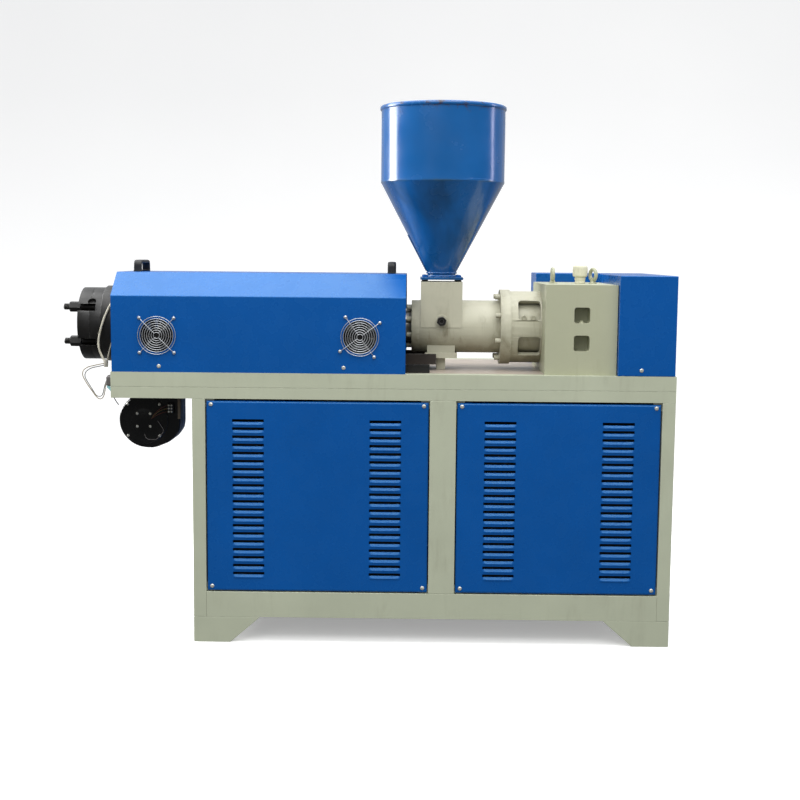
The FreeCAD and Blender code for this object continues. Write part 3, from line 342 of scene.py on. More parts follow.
def materials():
    """Each look by its short name; colours are 0 to 255."""
    looks = {
        # the lighter worn colours on the edges below double as painted edge highlights
        "blue": paint("blue_gloss_paint", (8, 77, 150), 0.26, 0.05, 260, 0.05, coat=0.06, grime=0.05,
                      dirt_and_shade=(24, 52, 84), wear_and_highlight=0.45, worn_and_lit=(80, 140, 210), tint=(0.4, 0.85, 1)),
        "hopper": hopper_paint("hopper_blue_paint", (18, 86, 148)),
        "frame": paint("frame_cream_paint", (174, 179, 157), 0.42, 0.05, 300, 0.1, coat=0.05,
                       grime=0.3, dirt_and_shade=(128, 124, 104), wear_and_highlight=0.4, worn_and_lit=(205, 208, 190)),
        # the cast paint's under setting is painted shade on its downward faces
        "cast": paint("cast_cream_paint", (178, 176, 156), 0.46, 0.09, 170, 0.25, grime=0.7,
                      dirt_and_shade=(104, 96, 70), wear_and_highlight=0.35, worn_and_lit=(214, 212, 196), underside_shade=0.6),
        "case": paint("gearbox_cream_paint", (167, 169, 143), 0.42, 0.05, 260, 0.12, coat=0.05,
                      grime=0.2, dirt_and_shade=(130, 124, 100), wear_and_highlight=0.5, worn_and_lit=(214, 214, 196)),
        "table": paint("table_top_paint", (172, 160, 147), 0.42, 0.1, 200, 0.12, coat=0.1, grime=0.9,
                       dirt_and_shade=(96, 80, 70), streak=(0.4, 1, 1)),
        "black_steel": paint("blackened_steel", (30, 29, 28), 0.4, 0.16, 260, 0.15, grime=0.25,
                             dirt_and_shade=(74, 68, 62), wear_and_highlight=0.6, worn_and_lit=(110, 110, 108), metal=0.2),
        "machined": turned_metal("machined_steel", (176, 174, 168), 0.34),
        "bright": paint("zinc_plated_steel", (204, 203, 194), 0.34, 0.06, 500, 0.1, grime=0.2,
                        metal=0.45),
        "chrome": paint("chrome_wire", (200, 203, 206), 0.28, 0.05, 500, 0.05, metal=0.65),
        "black_plastic": paint("black_plastic", (11, 11, 12), 0.5, 0.16, 700, 0.25, grime=0.15,
                               dirt_and_shade=(60, 60, 60)),
        "dark_sheet": paint("dark_sheet", (46, 40, 35), 0.5, 0.2, 200, 0.2, grime=0.5,
                            dirt_and_shade=(110, 84, 60), wear_and_highlight=0.5),
        "volute": paint("glossy_black_paint", (12, 13, 13), 0.24, 0.2, 160, 0.08, coat=0.3, grime=0.15,
                        dirt_and_shade=(60, 58, 54), wear_and_highlight=0.3, worn_and_lit=(90, 92, 92)),
        "breather": paint("breather_plastic", (206, 204, 180), 0.45, 0.06, 500, 0.15, grime=0.4,
                          dirt_and_shade=(140, 132, 108)),
        "ceramic": paint("ceramic", (214, 206, 190), 0.55, 0.08, 300, 0.2, grime=0.4,
                         dirt_and_shade=(130, 112, 90)),
        "sleeve": paint("grey_heat_sleeve", (172, 168, 156), 0.7, 0.12, 420, 0.5, grime=0.5,
                        dirt_and_shade=(104, 96, 82)),
        "gland": paint("grey_gland_plastic", (96, 92, 92), 0.45, 0.12, 500, 0.2, grime=0.3,
                       dirt_and_shade=(60, 56, 52)),
        "tag": paint("pale_cyan_tag", (150, 205, 214), 0.5, 0.1, 300, 0.2, grime=0.2),
        "strap": paint("brown_strap", (96, 84, 68), 0.6, 0.15, 500, 0.4, grime=0.4, dirt_and_shade=(60, 48, 36)),
        "red_wire": paint("red_wire_jacket", (78, 34, 26), 0.4, 0.1, 500, 0.1),
        "yellow_wire": paint("ochre_wire_jacket", (96, 80, 46), 0.4, 0.1, 500, 0.1),
        # painted shade: near-black fill that stands in for the cabinet's shaded inside
        "shade_fill": paint("unlit_steel", (12, 13, 16), 0.8, 0.2, 200, 0.2),
    }
    for lead, name, colour, pitch in (
            ("heater_lead", "cream_woven_sleeve", (222, 216, 196), 700),
            ("band_lead", "grey_woven_sleeve", (168, 164, 150), 700),
            ("sensor_lead_outer", "beige_braid", (164, 152, 130), 1100),
            ("sensor_lead_inner", "grey_braid", (130, 132, 130), 1100),
            ("stub_lead", "dark_braid", (60, 62, 64), 1100)):
        looks[lead] = wire_sleeve(name, colour, pitch)
    return looks


# ---- mesh making

# Points nearer than this, in metres, are one.
WELD_GAP = 0.00002
# For each axis: the two places across it and the one along it.
ORDER = {"x": (1, 2, 0), "y": (0, 2, 1), "z": (0, 1, 2)}


def directions(axis):
    return [Vector([float(place == way) for place in range(3)]) for way in ORDER[axis]]


class Maker:
    """Gathers parts of one piece. Every point is given in millimetres from the leg's corner."""

    def __init__(self):
        self.mesh = bmesh.new()

    def join(self, points, faces, look=0):
        verts = [self.mesh.verts.new(at(*point)) for point in points]
        for face in faces:
            self.mesh.faces.new([verts[index] for index in face]).material_index = look
        return verts

    def rings(self, rings, look=0, around=True):
        """Faces between rows of points of the same count."""
        count = len(rings[0])
        points = [point for ring in rings for point in ring]
        faces = []
        for here in range(0, (len(rings) - 1) * count, count):
            there = here + count
            for step in range(count if around else count - 1):
                after = (step + 1) % count
                faces.append((here + step, here + after, there + after, there + step))
        return self.join(points, faces, look)

    def block(self, lo, hi, round_by=1.0, look=0, steps=2):
        """A box with rounded edges."""
        part = bmesh.new()
        bmesh.ops.create_cube(part, size=1)
        for vert in part.verts:
            vert.co = Vector([lo[i] + (vert.co[i] + 0.5) * (hi[i] - lo[i]) for i in range(3)])
        if round_by:
            bmesh.ops.bevel(part, geom=part.edges[:], offset=round_by, segments=steps,
                            affect="EDGES", profile=0.5, clamp_overlap=True)
        self.take(part, look)

    def prism(self, outline, start, end, axis, round_by, look=0, steps=2):
        """An outline in the plane across axis, carried from start to end along it."""
        part = bmesh.new()
        order = ORDER[axis]
        loops = []
        for along in (start, end):
            loop = []
            for across, up in outline:
                place = [0, 0, 0]
                place[order[0]], place[order[1]], place[order[2]] = across, up, along
                loop.append(part.verts.new(place))
            loops.append(loop)
        part.faces.new(loops[0])
        part.faces.new(loops[1])
        for step in range(len(outline)):
            after = (step + 1) % len(outline)
            part.faces.new((loops[0][step], loops[0][after], loops[1][after], loops[1][step]))
        bmesh.ops.recalc_face_normals(part, faces=part.faces[:])
        sharp = [edge for edge in part.edges if edge.calc_face_angle(0) > 0.6]
        bmesh.ops.bevel(part, geom=sharp, offset=round_by, segments=steps, affect="EDGES",
                        profile=0.5, clamp_overlap=True)
        self.take(part, look)

    def take(self, part, look=0):
        """Adds another mesh, given in millimetres."""
        for face in part.faces:
            face.material_index = look
        for vert in part.verts:
            vert.co = at(*vert.co)
        data = bpy.data.meshes.new("part")
        part.to_mesh(data)
        part.free()
        before = len(self.mesh.faces)
        self.mesh.from_mesh(data)
        self.mesh.faces.ensure_lookup_table()
        for face in self.mesh.faces[before:]:
            face.material_index = look
        bpy.data.meshes.remove(data)

    def lathe(self, profile, centre, axis="z", steps=48, look=0):
        """A profile of (radius, along) turned about an axis through centre."""
        u, v, w = directions(axis)
        centre = Vector(centre)
        turns = [u * across + v * up for across, up in circle(steps)]
        self.rings([[centre + w * along + turn * radius for turn in turns]
                    for radius, along in profile], look)

    def sweep(self, points, section, look=0, closed=False, side=None):
        """A closed section (across, up) carried along points; side fixes the across direction."""
        points = [Vector(point) for point in points]
        count = len(points)
        rows = []
        across = None
        for index, point in enumerate(points):
            if closed:
                way = points[(index + 1) % count] - points[index - 1]
            else:
                way = points[min(index + 1, count - 1)] - points[max(index - 1, 0)]
            way.normalize()
            if side is not None:
                across = Vector(side)
            elif across is None:
                guess = Vector((0, 0, 1)) if abs(way.z) < 0.9 else Vector((1, 0, 0))
                across = way.cross(guess).normalized()
            across = (across - way * across.dot(way)).normalized()
            up = way.cross(across)
            rows.append([point + across * x + up * y for x, y in section])
        if closed:
            rows.append(rows[0])
        verts = self.rings(rows, look)
        if not closed:
            size = len(section)
            for loop in (verts[:size], verts[-size:]):
                self.mesh.faces.new(loop).material_index = look

    def wire(self, points, radius, look=0, closed=False, sides=8):
        self.sweep(points, circle(sides, radius), look, closed)

    def nut(self, centre, flats, length, hole, axis="x", turn=0.0):
        """A hexagon nut or head with turned corners; hole 0 makes it a closed head."""
        u, v, w = directions(axis)
        centre = Vector(centre)
        flat = flats / 2
        angles = [math.radians(10 * step) for step in range(36)]
        reach = [flat / math.cos((angle % (math.pi / 3)) - math.pi / 6) for angle in angles]

        def ring(radii, alongs):
            return [centre + w * along + (u * math.cos(a + turn) + v * math.sin(a + turn)) * radius
                    for a, radius, along in zip(angles, radii, alongs)]
        even = [flat * 0.96] * 36
        drop = [(radius - flat * 0.96) * 0.6 for radius in reach]
        inner = [max(hole, 0.01)] * 36
        rows = [ring(inner, [0] * 36), ring(even, [0] * 36), ring(reach, drop),
                ring(reach, [length - d for d in drop]), ring(even, [length] * 36),
                ring(inner, [length] * 36)]
        self.rings(rows)

    def head(self, profile, centre, axis, look=0):
        """A turned head whose axis, such as "-y", points out of the surface."""
        sign = -1 if axis.startswith("-") else 1
        self.lathe([(radius, sign * out) for radius, out in profile], centre, axis[-1], 24, look)

    def screw(self, centre, axis, radius, rise, look=0):
        """A domed screw head with a small round drive recess."""
        profile = [(radius, 0), (radius, rise * 0.25), (radius * 0.93, rise * 0.5),
                   (radius * 0.75, rise * 0.8), (radius * 0.5, rise * 0.97), (radius * 0.34, rise),
                   (radius * 0.28, rise * 0.62), (0.01, rise * 0.5)]
        self.head(profile, centre, axis, look)

    def cap_screw(self, centre, axis, radius, length):
        """A socket head cap screw."""
        edge = radius * 0.12
        profile = [(radius, 0), (radius, length - edge), (radius - edge, length),
                   (radius * 0.56, length), (radius * 0.52, length - edge * 0.7),
                   (radius * 0.52, length * 0.45), (0.01, length * 0.4)]
        self.head(profile, centre, axis)

    def piece(self, name, looks, slot, replaces=(), angle=32, even=True):
        """The gathered parts as one object that rides on the machine."""
        bmesh.ops.remove_doubles(self.mesh, verts=self.mesh.verts[:], dist=WELD_GAP)
        bmesh.ops.recalc_face_normals(self.mesh, faces=self.mesh.faces[:])
        data = bpy.data.meshes.new(name)
        self.mesh.to_mesh(data)
        self.mesh.free()
        for look in looks if isinstance(looks, list) else [looks]:
            data.materials.append(look)
        data.shade_smooth()
        data.set_sharp_from_angle(angle=math.radians(angle))
        made = put(name, data)
        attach(made, "root")
        if replaces:
            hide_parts(*replaces)
        if even:
            even_out(made)
        return made


def carry(look, bevel, *names, steps=2):
    """Gives kept nodes their finish and a small round on their edges."""
    for name in names:
        node = nodes[name]
        node.data.materials.clear()
        node.data.materials.append(look)
        for polygon in node.data.polygons:
            polygon.material_index = 0
        weld = node.modifiers.new("weld", "WELD")
        weld.merge_threshold = WELD_GAP
        edge = node.modifiers.new("edge", "BEVEL")
        edge.width = bevel / 1000
        edge.segments = steps
        edge.limit_method = "ANGLE"
        edge.angle_limit = math.radians(35)
        edge.harden_normals = True
        edge.use_clamp_overlap = True


# ---- cabinet panels

LOUVRE_PITCH = 25
LOUVRE_COUNT = 20
LOUVRE_HALF = 48.5
# A louvre's lip: how far below its top edge, and how far out from the sheet.
LIP_PROFILE = [(0, -3.6), (1, -2.6), (3, -0.8), (5, 0.8), (6.8, 2), (8, 2.5), (9, 2.4), (10, 1.9),
               (11.2, 1), (12.6, 0.3), (15, 0)]
LIP_DROP = LIP_PROFILE[-1][0]
SLOT_HEIGHT = 8.5
FIRST_LIP = 51.6
FOLD_ROWS = [0, 0.5, 1.4, 2.6, 4.2, 6, 7]
FOLD_RADIUS = 7
SKIRT = 12


def across_louvre():
    """Places over a louvre's half width, close together at its rounded end."""
    half = [0, 14, 26, 34, 39, 42, 44.5, 46.5, 47.8, LOUVRE_HALF]
    return [-value for value in reversed(half[1:])] + half


def end_round(offset):
    """How far the lip stands out across its width: full in the middle, none at the end."""
    ratio = min(abs(offset) / LOUVRE_HALF, 1)
    return (1 - ratio ** 7) ** 0.9


def panel_face(maker, width, height, columns, place):
    """A panel with folded edges; place turns (along, up, outwards) into a point."""
    us, vs = (set(FOLD_ROWS + [size - value for value in FOLD_ROWS]) for size in (width, height))
    lips = [FIRST_LIP + LOUVRE_PITCH * row for row in range(LOUVRE_COUNT if columns else 0)]
    for centre in columns:
        us.update(centre + offset for offset in across_louvre())
    for top in lips:
        vs.update([top - drop for drop, _ in LIP_PROFILE] + [top + SLOT_HEIGHT])
    us, vs = sorted(us), sorted(vs)

    def outwards(u, v):
        inset = min(u, v, width - u, height - v)
        fold = 0
        if inset < FOLD_RADIUS:
            fold = FOLD_RADIUS - math.sqrt(max(FOLD_RADIUS ** 2 - (FOLD_RADIUS - inset) ** 2, 0))
        for centre in columns:
            for top in lips:
                if abs(u - centre) < LOUVRE_HALF and -0.001 <= top - v <= LIP_DROP:
                    return between(LIP_PROFILE, max(top - v, 0)) * end_round(u - centre)
        return -fold
    grid = [[place(u, v, outwards(u, v)) for u in us] for v in vs]
    faces = []
    count = len(us)
    for row in range(len(vs) - 1):
        for step in range(count - 1):
            u, v = (us[step] + us[step + 1]) / 2, (vs[row] + vs[row + 1]) / 2
            open_here = any(abs(u - centre) < LOUVRE_HALF for centre in columns) and any(
                0 < v - top < SLOT_HEIGHT for top in lips)
            if not open_here:
                first = row * count + step
                faces.append((first, first + 1, first + count + 1, first + count))
    maker.join([point for row in grid for point in row], faces)
    loop = [(u, 0) for u in us] + [(width, v) for v in vs[1:]]
    loop += [(u, height) for u in reversed(us[:-1])] + [(0, v) for v in reversed(vs[1:-1])]
    maker.rings([[place(u, v, -depth) for u, v in loop] for depth in (FOLD_RADIUS, SKIRT)])


def panels(looks):
    rise = 6
    for node, first, last in (("front_panel_left", 128, 132), ("front_panel_right", 132, 128),
                              ("rear_panel_left", 132, 128), ("rear_panel_right", 128, 132)):
        lo, hi = corners(node)
        width, height = hi.x - lo.x, hi.z - lo.z
        start, way, face = lo.x, 1, lo.y + rise
        if node.startswith("rear"):
            start, way, face = hi.x, -1, hi.y - rise
        made = Maker()
        panel_face(made, width, height, [first, width - last],
                   lambda u, v, w: (start + way * u, face - way * w, lo.z + v))
        made.piece(node + "_sheet", looks["blue"], "blue_paint", [node], angle=60)
    lo, hi = corners("end_panels")
    made = Maker()
    width, height = hi.y - lo.y, hi.z - lo.z
    panel_face(made, width, height, [], lambda u, v, w: (lo.x - w, hi.y - u, lo.z + v))
    panel_face(made, width, height, [], lambda u, v, w: (hi.x + w, lo.y + u, lo.z + v))
    made.piece("end_panel_sheets", looks["blue"], "blue_paint", ["end_panels"], angle=60)
    heads = Maker()
    depth = corners("rear_beam")[1].y
    for side in ("left", "right"):
        lo, hi = corners("front_panel_" + side)
        for x in (lo.x + 15, hi.x - 15):
            for z in (lo.z + 15, hi.z - 11):
                heads.screw((x, 1, z), "-y", 6.3, 4.2)
                heads.screw((x, depth - 1, z), "y", 6.3, 4.2)
    table = corners("table_plate")[1].z
    for x in (-99, 462, 1363):
        heads.screw((x, 0, table + 18), "-y", 6.2, 2.9)
    heads.piece("cover_screw_heads", looks["bright"], "bright_fasteners", ["cover_screws"])


def shade_behind_panels(looks):
    """Near-black sheets behind the panels, which the louvres and gaps look onto: painted shade that
    stands in for the shaded inside of the cabinet.
    """
    made = Maker()
    panel_lo, panel_hi = corners("end_panels")
    depth = corners("rear_beam")[1].y
    for y in (40.5, depth - 42.5):
        made.block((panel_lo.x + 12, y, panel_lo.z - 2), (panel_hi.x - 12, y + 2, panel_hi.z + 4), 0)
    made.block((panel_lo.x + 14, 43, panel_lo.z - 3), (panel_hi.x - 14, depth - 43, panel_lo.z - 1), 0)
    for x in (panel_lo.x + 12.5, panel_hi.x - 14.5):
        made.block((x, 43, panel_lo.z), (x + 2, depth - 43, panel_hi.z + 4), 0)
    made.piece("cabinet_shade_sheets", looks["shade_fill"], "dark_sheet")


# ---- hood with its fans


def arc(centre, radius, start, end, steps=6):
    """Points of an arc, with angles in degrees."""
    angles = [math.radians(start + (end - start) * step / steps) for step in range(steps + 1)]
    return [(centre[0] + radius * math.cos(angle), centre[1] + radius * math.sin(angle))
            for angle in angles]


def rounded_path(points, radius, steps=5):
    """An open path whose inner corners are rounded."""
    points = [Vector(point) for point in points]
    path = [points[0]]
    for before, here, after in zip(points, points[1:], points[2:]):
        into, out = (here - before).normalized(), (after - here).normalized()
        turn = into.angle(out)
        back = radius * math.tan(turn / 2)
        first, last = here - into * back, here + out * back
        for step in range(steps + 1):
            t = step / steps
            path.append(first * (1 - t) ** 2 + here * 2 * t * (1 - t) + last * t ** 2)
    path.append(points[-1])
    return path


FAN_PLACES = (-104, 511)
FAN_LEVEL = 951.5
FAN_HOLE = 50
GUARD_RADIUS = 57.2
GUARD_PITCH = 6.85
GUARD_RINGS = 8
GUARD_REACH = 74.2


def hood(looks):
    lo, hi = corners("barrel_hood")
    bevel_deep, wall = 90, 230.5
    levels = [(lo.y, lo.z), (lo.y, lo.z + wall), (lo.y + bevel_deep, hi.z),
              (hi.y - bevel_deep, hi.z), (hi.y, lo.z + wall), (hi.y, lo.z)]
    section = rounded_path(levels, 5)
    made = Maker()
    count = 24
    xs = [lo.x + (hi.x - lo.x) * step / count for step in range(count + 1)]
    # the front wall has round holes, so it is filled on its own; the rest is a bent strip
    made.rings([[(x, y, z) for y, z in section[1:]] for x in xs], around=False)
    front = bmesh.new()
    top = section[1]
    outline = [(x, lo.z) for x in (xs[0], xs[-1])] + [(x, top[1]) for x in reversed(xs)]
    edges = []
    for loop in [outline] + [circle(64, FAN_HOLE, place, FAN_LEVEL) for place in FAN_PLACES]:
        verts = [front.verts.new((x, lo.y, z)) for x, z in loop]
        edges += [front.edges.new((a, b)) for a, b in zip(verts, verts[1:] + verts[:1])]
    bmesh.ops.triangle_fill(front, use_beauty=True, edges=edges)
    made.take(front)
    sheet = made.piece("barrel_hood_sheet", looks["blue"], "blue_paint", ["barrel_hood"],
                       even=False)
    thick = sheet.modifiers.new("thickness", "SOLIDIFY")
    thick.thickness = 0.002
    thick.offset = -1
    even_out(sheet)


def fan_guards(looks):
    wire = 1.0
    made = Maker()
    depth = corners("fan_guards")[0].y + wire
    for place, turn, lean in ((FAN_PLACES[0], 0, -1), (FAN_PLACES[1], 9, 1)):
        for ring in range(GUARD_RINGS):
            inner = GUARD_RADIUS - GUARD_PITCH * ring
            points = circle(72 if ring < 5 else 36, inner, place, FAN_LEVEL)
            made.wire([(x, depth + 2, z) for x, z in points], wire, closed=True)
        for step in range(4):
            angle = math.radians(45 + 90 * step - turn)
            rising = step % 2 == 0
            in_front = rising == (lean > 0)
            y = depth if in_front else depth + 4
            way = Vector((math.cos(angle), 0, math.sin(angle)))
            hub = Vector((place, 0, FAN_LEVEL))
            end = hub + way * GUARD_REACH
            bends = [(inner, y), (60, y), (GUARD_REACH - 8, (y + depth + 4) / 2),
                     (GUARD_REACH - 3, depth + 5)]
            made.wire([hub + way * out + Vector((0, back, 0)) for out, back in bends], wire)
            made.lathe([(5.2, 0), (5.2, -1.4), (4.6, -1.8), (2.2, -1.8)], (end.x, -4, end.z), "y",
                       24)
            made.screw((end.x, -5, end.z), "-y", 4.4, 3.4)
            made.lathe([(3.4, 0), (3.4, 5)], (end.x, -4.6, end.z), "y", 20)
    made.piece("fan_guard_wires", looks["chrome"], "chrome_wire", ["fan_guards"])


def handles(looks):
    made = Maker()
    lo, hi = corners("hood_handles")
    base = lo.z
    centre = (hi.y + lo.y) / 2
    half = (hi.y - lo.y) / 2
    wide, thick = 12.5, 5.5
    section = [(wide * math.copysign(abs(across) ** 0.55, across),
                thick * math.copysign(abs(up) ** 0.55, up)) for across, up in circle(24)]
    for x in (lo.x + wide, hi.x - wide):
        path = rounded_path([(half - 6, 3), (half - 8, 31.3), (-half + 8, 31.3), (-half + 6, 3)],
                            13, 7)
        made.sweep([(x, centre + y, base + z) for y, z in path], section, side=(1, 0, 0))
        for y in (half - 11, -half + 11):
            made.block((x - wide, centre + y - 11, base), (x + wide, centre + y + 11, base + 5),
                       1.8)
    made.piece("hood_grip_handles", looks["black_plastic"], "black_plastic", ["hood_handles"])


# ---- hopper

HOPPER = (759.5, 225)


def round_hopper(angle, away, z):
    return (HOPPER[0] + away * math.cos(angle), HOPPER[1] + away * math.sin(angle), z)


def hopper(looks):
    plate_lo, plate_hi = corners("hopper_flange_plate")
    neck_z = plate_hi.z
    waist_z = corners("hopper_drum")[0].z
    radius = 193.75
    neck = 44.5
    made = Maker()
    steps = 128
    profile = [(neck, neck_z - 2), (neck, neck_z + 11), (neck + 1.5, neck_z + 15),
               (neck + 6, neck_z + 23), (radius - 4, waist_z - 7.5), (radius - 0.8, waist_z - 2.2),
               (radius - 0.2, waist_z - 0.6)]
    outer = profile + [(radius + 0.6, waist_z), (radius + 0.6, waist_z + 5.5),
                       (radius, waist_z + 6.5)]
    top = corners("hopper_rim")[1].z - 5
    for step in range(1, 9):
        outer.append((radius, waist_z + 6.5 + (top - 8 - waist_z - 6.5) * step / 8))
    # the rolled rim stands a little outside the drum
    roll = [(radius + 1.2, top - 8), (radius + 3.6, top - 6), (radius + 4, top - 2),
            (radius + 3.2, top + 3), (radius + 0.8, top + 5), (radius - 2, top + 4.6),
            (radius - 4, top + 2), (radius - 4.2, top - 3), (radius - 2.6, top - 6.5)]
    inner = [(radius - 2, top - 8), (radius - 2, waist_z + 2), (radius - 3, waist_z - 2),
             (neck - 2, neck_z + 14), (neck - 2, neck_z - 2)]
    rows = []
    for r, z in outer + roll + inner:
        row = []
        for step in range(steps):
            angle = math.tau * step / steps
            away = r
            if waist_z + 6 < z < top - 9:
                away += 0.35 * math.sin(3 * angle + 1) + 0.2 * math.sin(7 * angle + z / 60)
            elif abs(z - waist_z) < 8:
                away += 0.5 * math.sin(5 * angle + 0.4) + 0.3 * math.sin(11 * angle)
            row.append(round_hopper(angle, away, z))
        rows.append(row)
    made.rings(rows)
    # lap seam down the left of the cone
    path = []
    for step in range(9):
        part = 0.02 + 0.4 * step / 8
        path.append(round_hopper(math.radians(188), neck + 1 + (radius - neck) * part + 1.2,
                                 neck_z + 14 + (waist_z - neck_z - 14) * part))
    made.sweep(path, [(-6, -0.8), (6, -0.8), (6, 0.8), (-6, 0.8)], side=(0.14, -1, 0))
    made.piece("hopper_shell", looks["hopper"], "blue_paint",
               ["hopper_cone", "hopper_drum", "hopper_rim"], angle=50)
    weld = Maker()
    for r, z, fat in ((neck + 2.5, neck_z + 2.5, 4.2), (neck + 1.8, neck_z + 13, 2.6)):
        ring = []
        for step in range(90):
            wobble = 0.8 * chance.uniform(-1, 1)
            ring.append(round_hopper(math.tau * step / 90, r + wobble,
                                     z + chance.uniform(-0.7, 0.7)))
        weld.wire(ring, fat, closed=True)
    weld.prism(rounded_plate(plate_lo, plate_hi, 9), plate_lo.z, plate_hi.z, "z", 1.2)
    weld.piece("hopper_flange_welded", looks["hopper"], "blue_paint", ["hopper_flange_plate"],
               angle=55)
    bolts = Maker()
    for x in (plate_lo.x + 15, plate_hi.x - 15):
        for y in (plate_lo.y + 15, plate_hi.y - 15):
            above = (x, y, plate_hi.z)
            bolts.lathe([(9, -6), (9.4, -5), (9.4, -1), (9, 0)], (x, y, plate_lo.z), "z", 24, 1)
            bolts.nut((x, y, plate_hi.z + 0.6), 15, 6.2, 3.5, "z")
            bolts.lathe([(9, 0), (9, 1), (4, 1)], above, "z", 24)
            bolts.lathe([(3.8, 0), (3.8, 7), (0.01, 7.2)], above, "z", 16)
    bolts.piece("hopper_flange_bolts", [looks["blue"], looks["black_steel"]],
                "blue_paint", ["hopper_bolts"])


def rounded_plate(lo, hi, radius):
    """A rectangle's outline with round corners."""
    left, right, near, far = lo.x + radius, hi.x - radius, lo.y + radius, hi.y - radius
    outline = []
    for quarter, centre in enumerate(((right, far), (left, far), (left, near), (right, near))):
        outline += arc(centre, radius, 90 * quarter, 90 * quarter + 90)
    return outline


# ---- die end

AXIS = (225, 975)
STUD_OFFSET = 54


def die_end(looks):
    nuts = Maker()
    studs = Maker()
    lo, hi = corners("die_studs")
    nut_lo, nut_hi = corners("die_nuts")
    for y in (AXIS[0] - STUD_OFFSET, AXIS[0] + STUD_OFFSET):
        for z in (AXIS[1] - STUD_OFFSET, AXIS[1] + STUD_OFFSET):
            turn = chance.uniform(0, 1)
            nuts.nut((nut_lo.x, y, z), 30, nut_hi.x - nut_lo.x, 9.4, "x", turn=turn)
            profile = [(0.01, lo.x), (7.8, lo.x), (9.6, lo.x + 2)]
            x = lo.x + 2
            while x < nut_lo.x + 4:
                profile += [(9.9, x + 0.4), (9.9, x + 0.9), (8.6, x + 1.9), (8.6, x + 2.1)]
                x += 2.5
            profile += [(9.9, x), (9.9, hi.x)]
            studs.lathe(profile, (0, y, z), "x", 32)
    nuts.piece("die_hex_nuts", looks["black_steel"], "black_steel", ["die_nuts"], angle=28)
    studs.piece("die_threaded_studs", looks["black_steel"], "black_steel", ["die_studs"],
                angle=40)


# ---- feed section and bell


def fastener_rings(looks):
    made = Maker()
    for node, radius in (("feed_housing", 64), ("bell_housing", 103)):
        for y, z in circle(8, radius, *AXIS, start=22.5):
            made.cap_screw((corners(node)[0].x, y, z), "-x", 8, 16)
    made.piece("flange_cap_screws", looks["cast"], "cast_paint", ["flange_bolts"])
    plug = Maker()
    lo, hi = corners("water_plug")
    x, z = middle("water_plug").xz
    plug.nut((x, lo.y, z), 27, hi.y - lo.y, 7, "y", turn=0.26)
    plug.lathe([(7, 0.5), (6.4, 4), (0.01, 4.5)], (x, lo.y, z), "y", 24)
    plug.piece("hex_water_plug", looks["black_steel"], "black_steel", ["water_plug"], angle=28)
    boss = Maker()
    boss.lathe([(20, 6), (20, -0.6), (19, -1.4), (14, -1.4), (13.5, 1)], (x, hi.y, z), "y")
    boss.piece("plug_spot_facing", looks["cast"], "cast_paint")


def drive_details(looks):
    """Two bolts seen in the bell's upper window, and one in the gearbox's upper pocket."""
    lo, hi = corners("bearing_housing")
    made = Maker()
    radius = (hi.z - lo.z) / 2 - 1
    angle = math.radians(158)
    for x in (1018, 1046):
        place = (x, AXIS[0] + radius * math.cos(angle), AXIS[1] + radius * math.sin(angle))
        made.lathe([(8.5, 0), (8.5, -4), (7.5, -5), (4, -5), (3.6, -3.6), (0.01, -3.6)], place,
                   "y", 24)
    made.piece("bearing_cap_bolts", looks["cast"], "cast_paint")
    boss = Maker()
    foot = corners("gearbox_case")[0] + Vector((111, 16, 158))
    boss.lathe([(8, -1), (8, 2), (7, 3), (5, 3)], foot, "z", 28)
    boss.nut(foot + Vector((0, 0, 2.5)), 9, 5, 0, "z", turn=0.2)
    boss.piece("pocket_drain_boss", looks["case"], "cast_paint")


# ---- gearbox top


def gearbox_top(looks):
    x, y = middle("breather_cap").xy
    base = corners("breather_cap")[0].z
    made = Maker()
    stem = [(15, 0), (16.5, 1), (16.5, 7), (15.2, 8.5), (17.2, 12), (17.2, 18), (16, 20),
            (21, 21.5), (22.6, 24)]
    grip = [(22.9, 27), (23.2, 40), (23.2, 49), (22.6, 53)]
    crown = [(20.8, 56.2), (17.5, 57.7), (10, 58), (0.01, 58)]
    rings = []
    for r, z in stem + grip + crown:
        rib = 0.55 if (r, z) in grip else 0
        ring = []
        for step in range(96):
            angle = math.tau * step / 96
            away = r + rib * math.cos(24 * angle)
            ring.append((x + away * math.cos(angle), y + away * math.sin(angle), base + z))
        rings.append(ring)
    made.rings(rings)
    made.piece("breather_ribbed_cap", looks["breather"], "breather_plastic", ["breather_cap"],
               angle=50)
    eyes = Maker()
    lo, hi = corners("eyebolts")
    case = corners("gearbox_case")[0].x
    for place, turn in ((case + 40, 0), (case + 168, 25)):
        turn = math.radians(turn)
        across = Vector((-math.sin(turn), math.cos(turn), 0))
        centre = Vector((place, y, hi.z - 23))
        ring = [centre + across * out + Vector((0, 0, up)) for out, up in circle(48, 17)]
        eyes.wire(ring, 5.9, closed=True, sides=16)
        eyes.lathe([(13, 0), (13, 2.5), (11.5, 3.5), (9, 4), (8, 8), (6.5, 12)],
                   (place, y, lo.z), "z", 32)
    eyes.piece("lifting_eyebolts", looks["case"], "cast_paint", ["eyebolts"], angle=40)


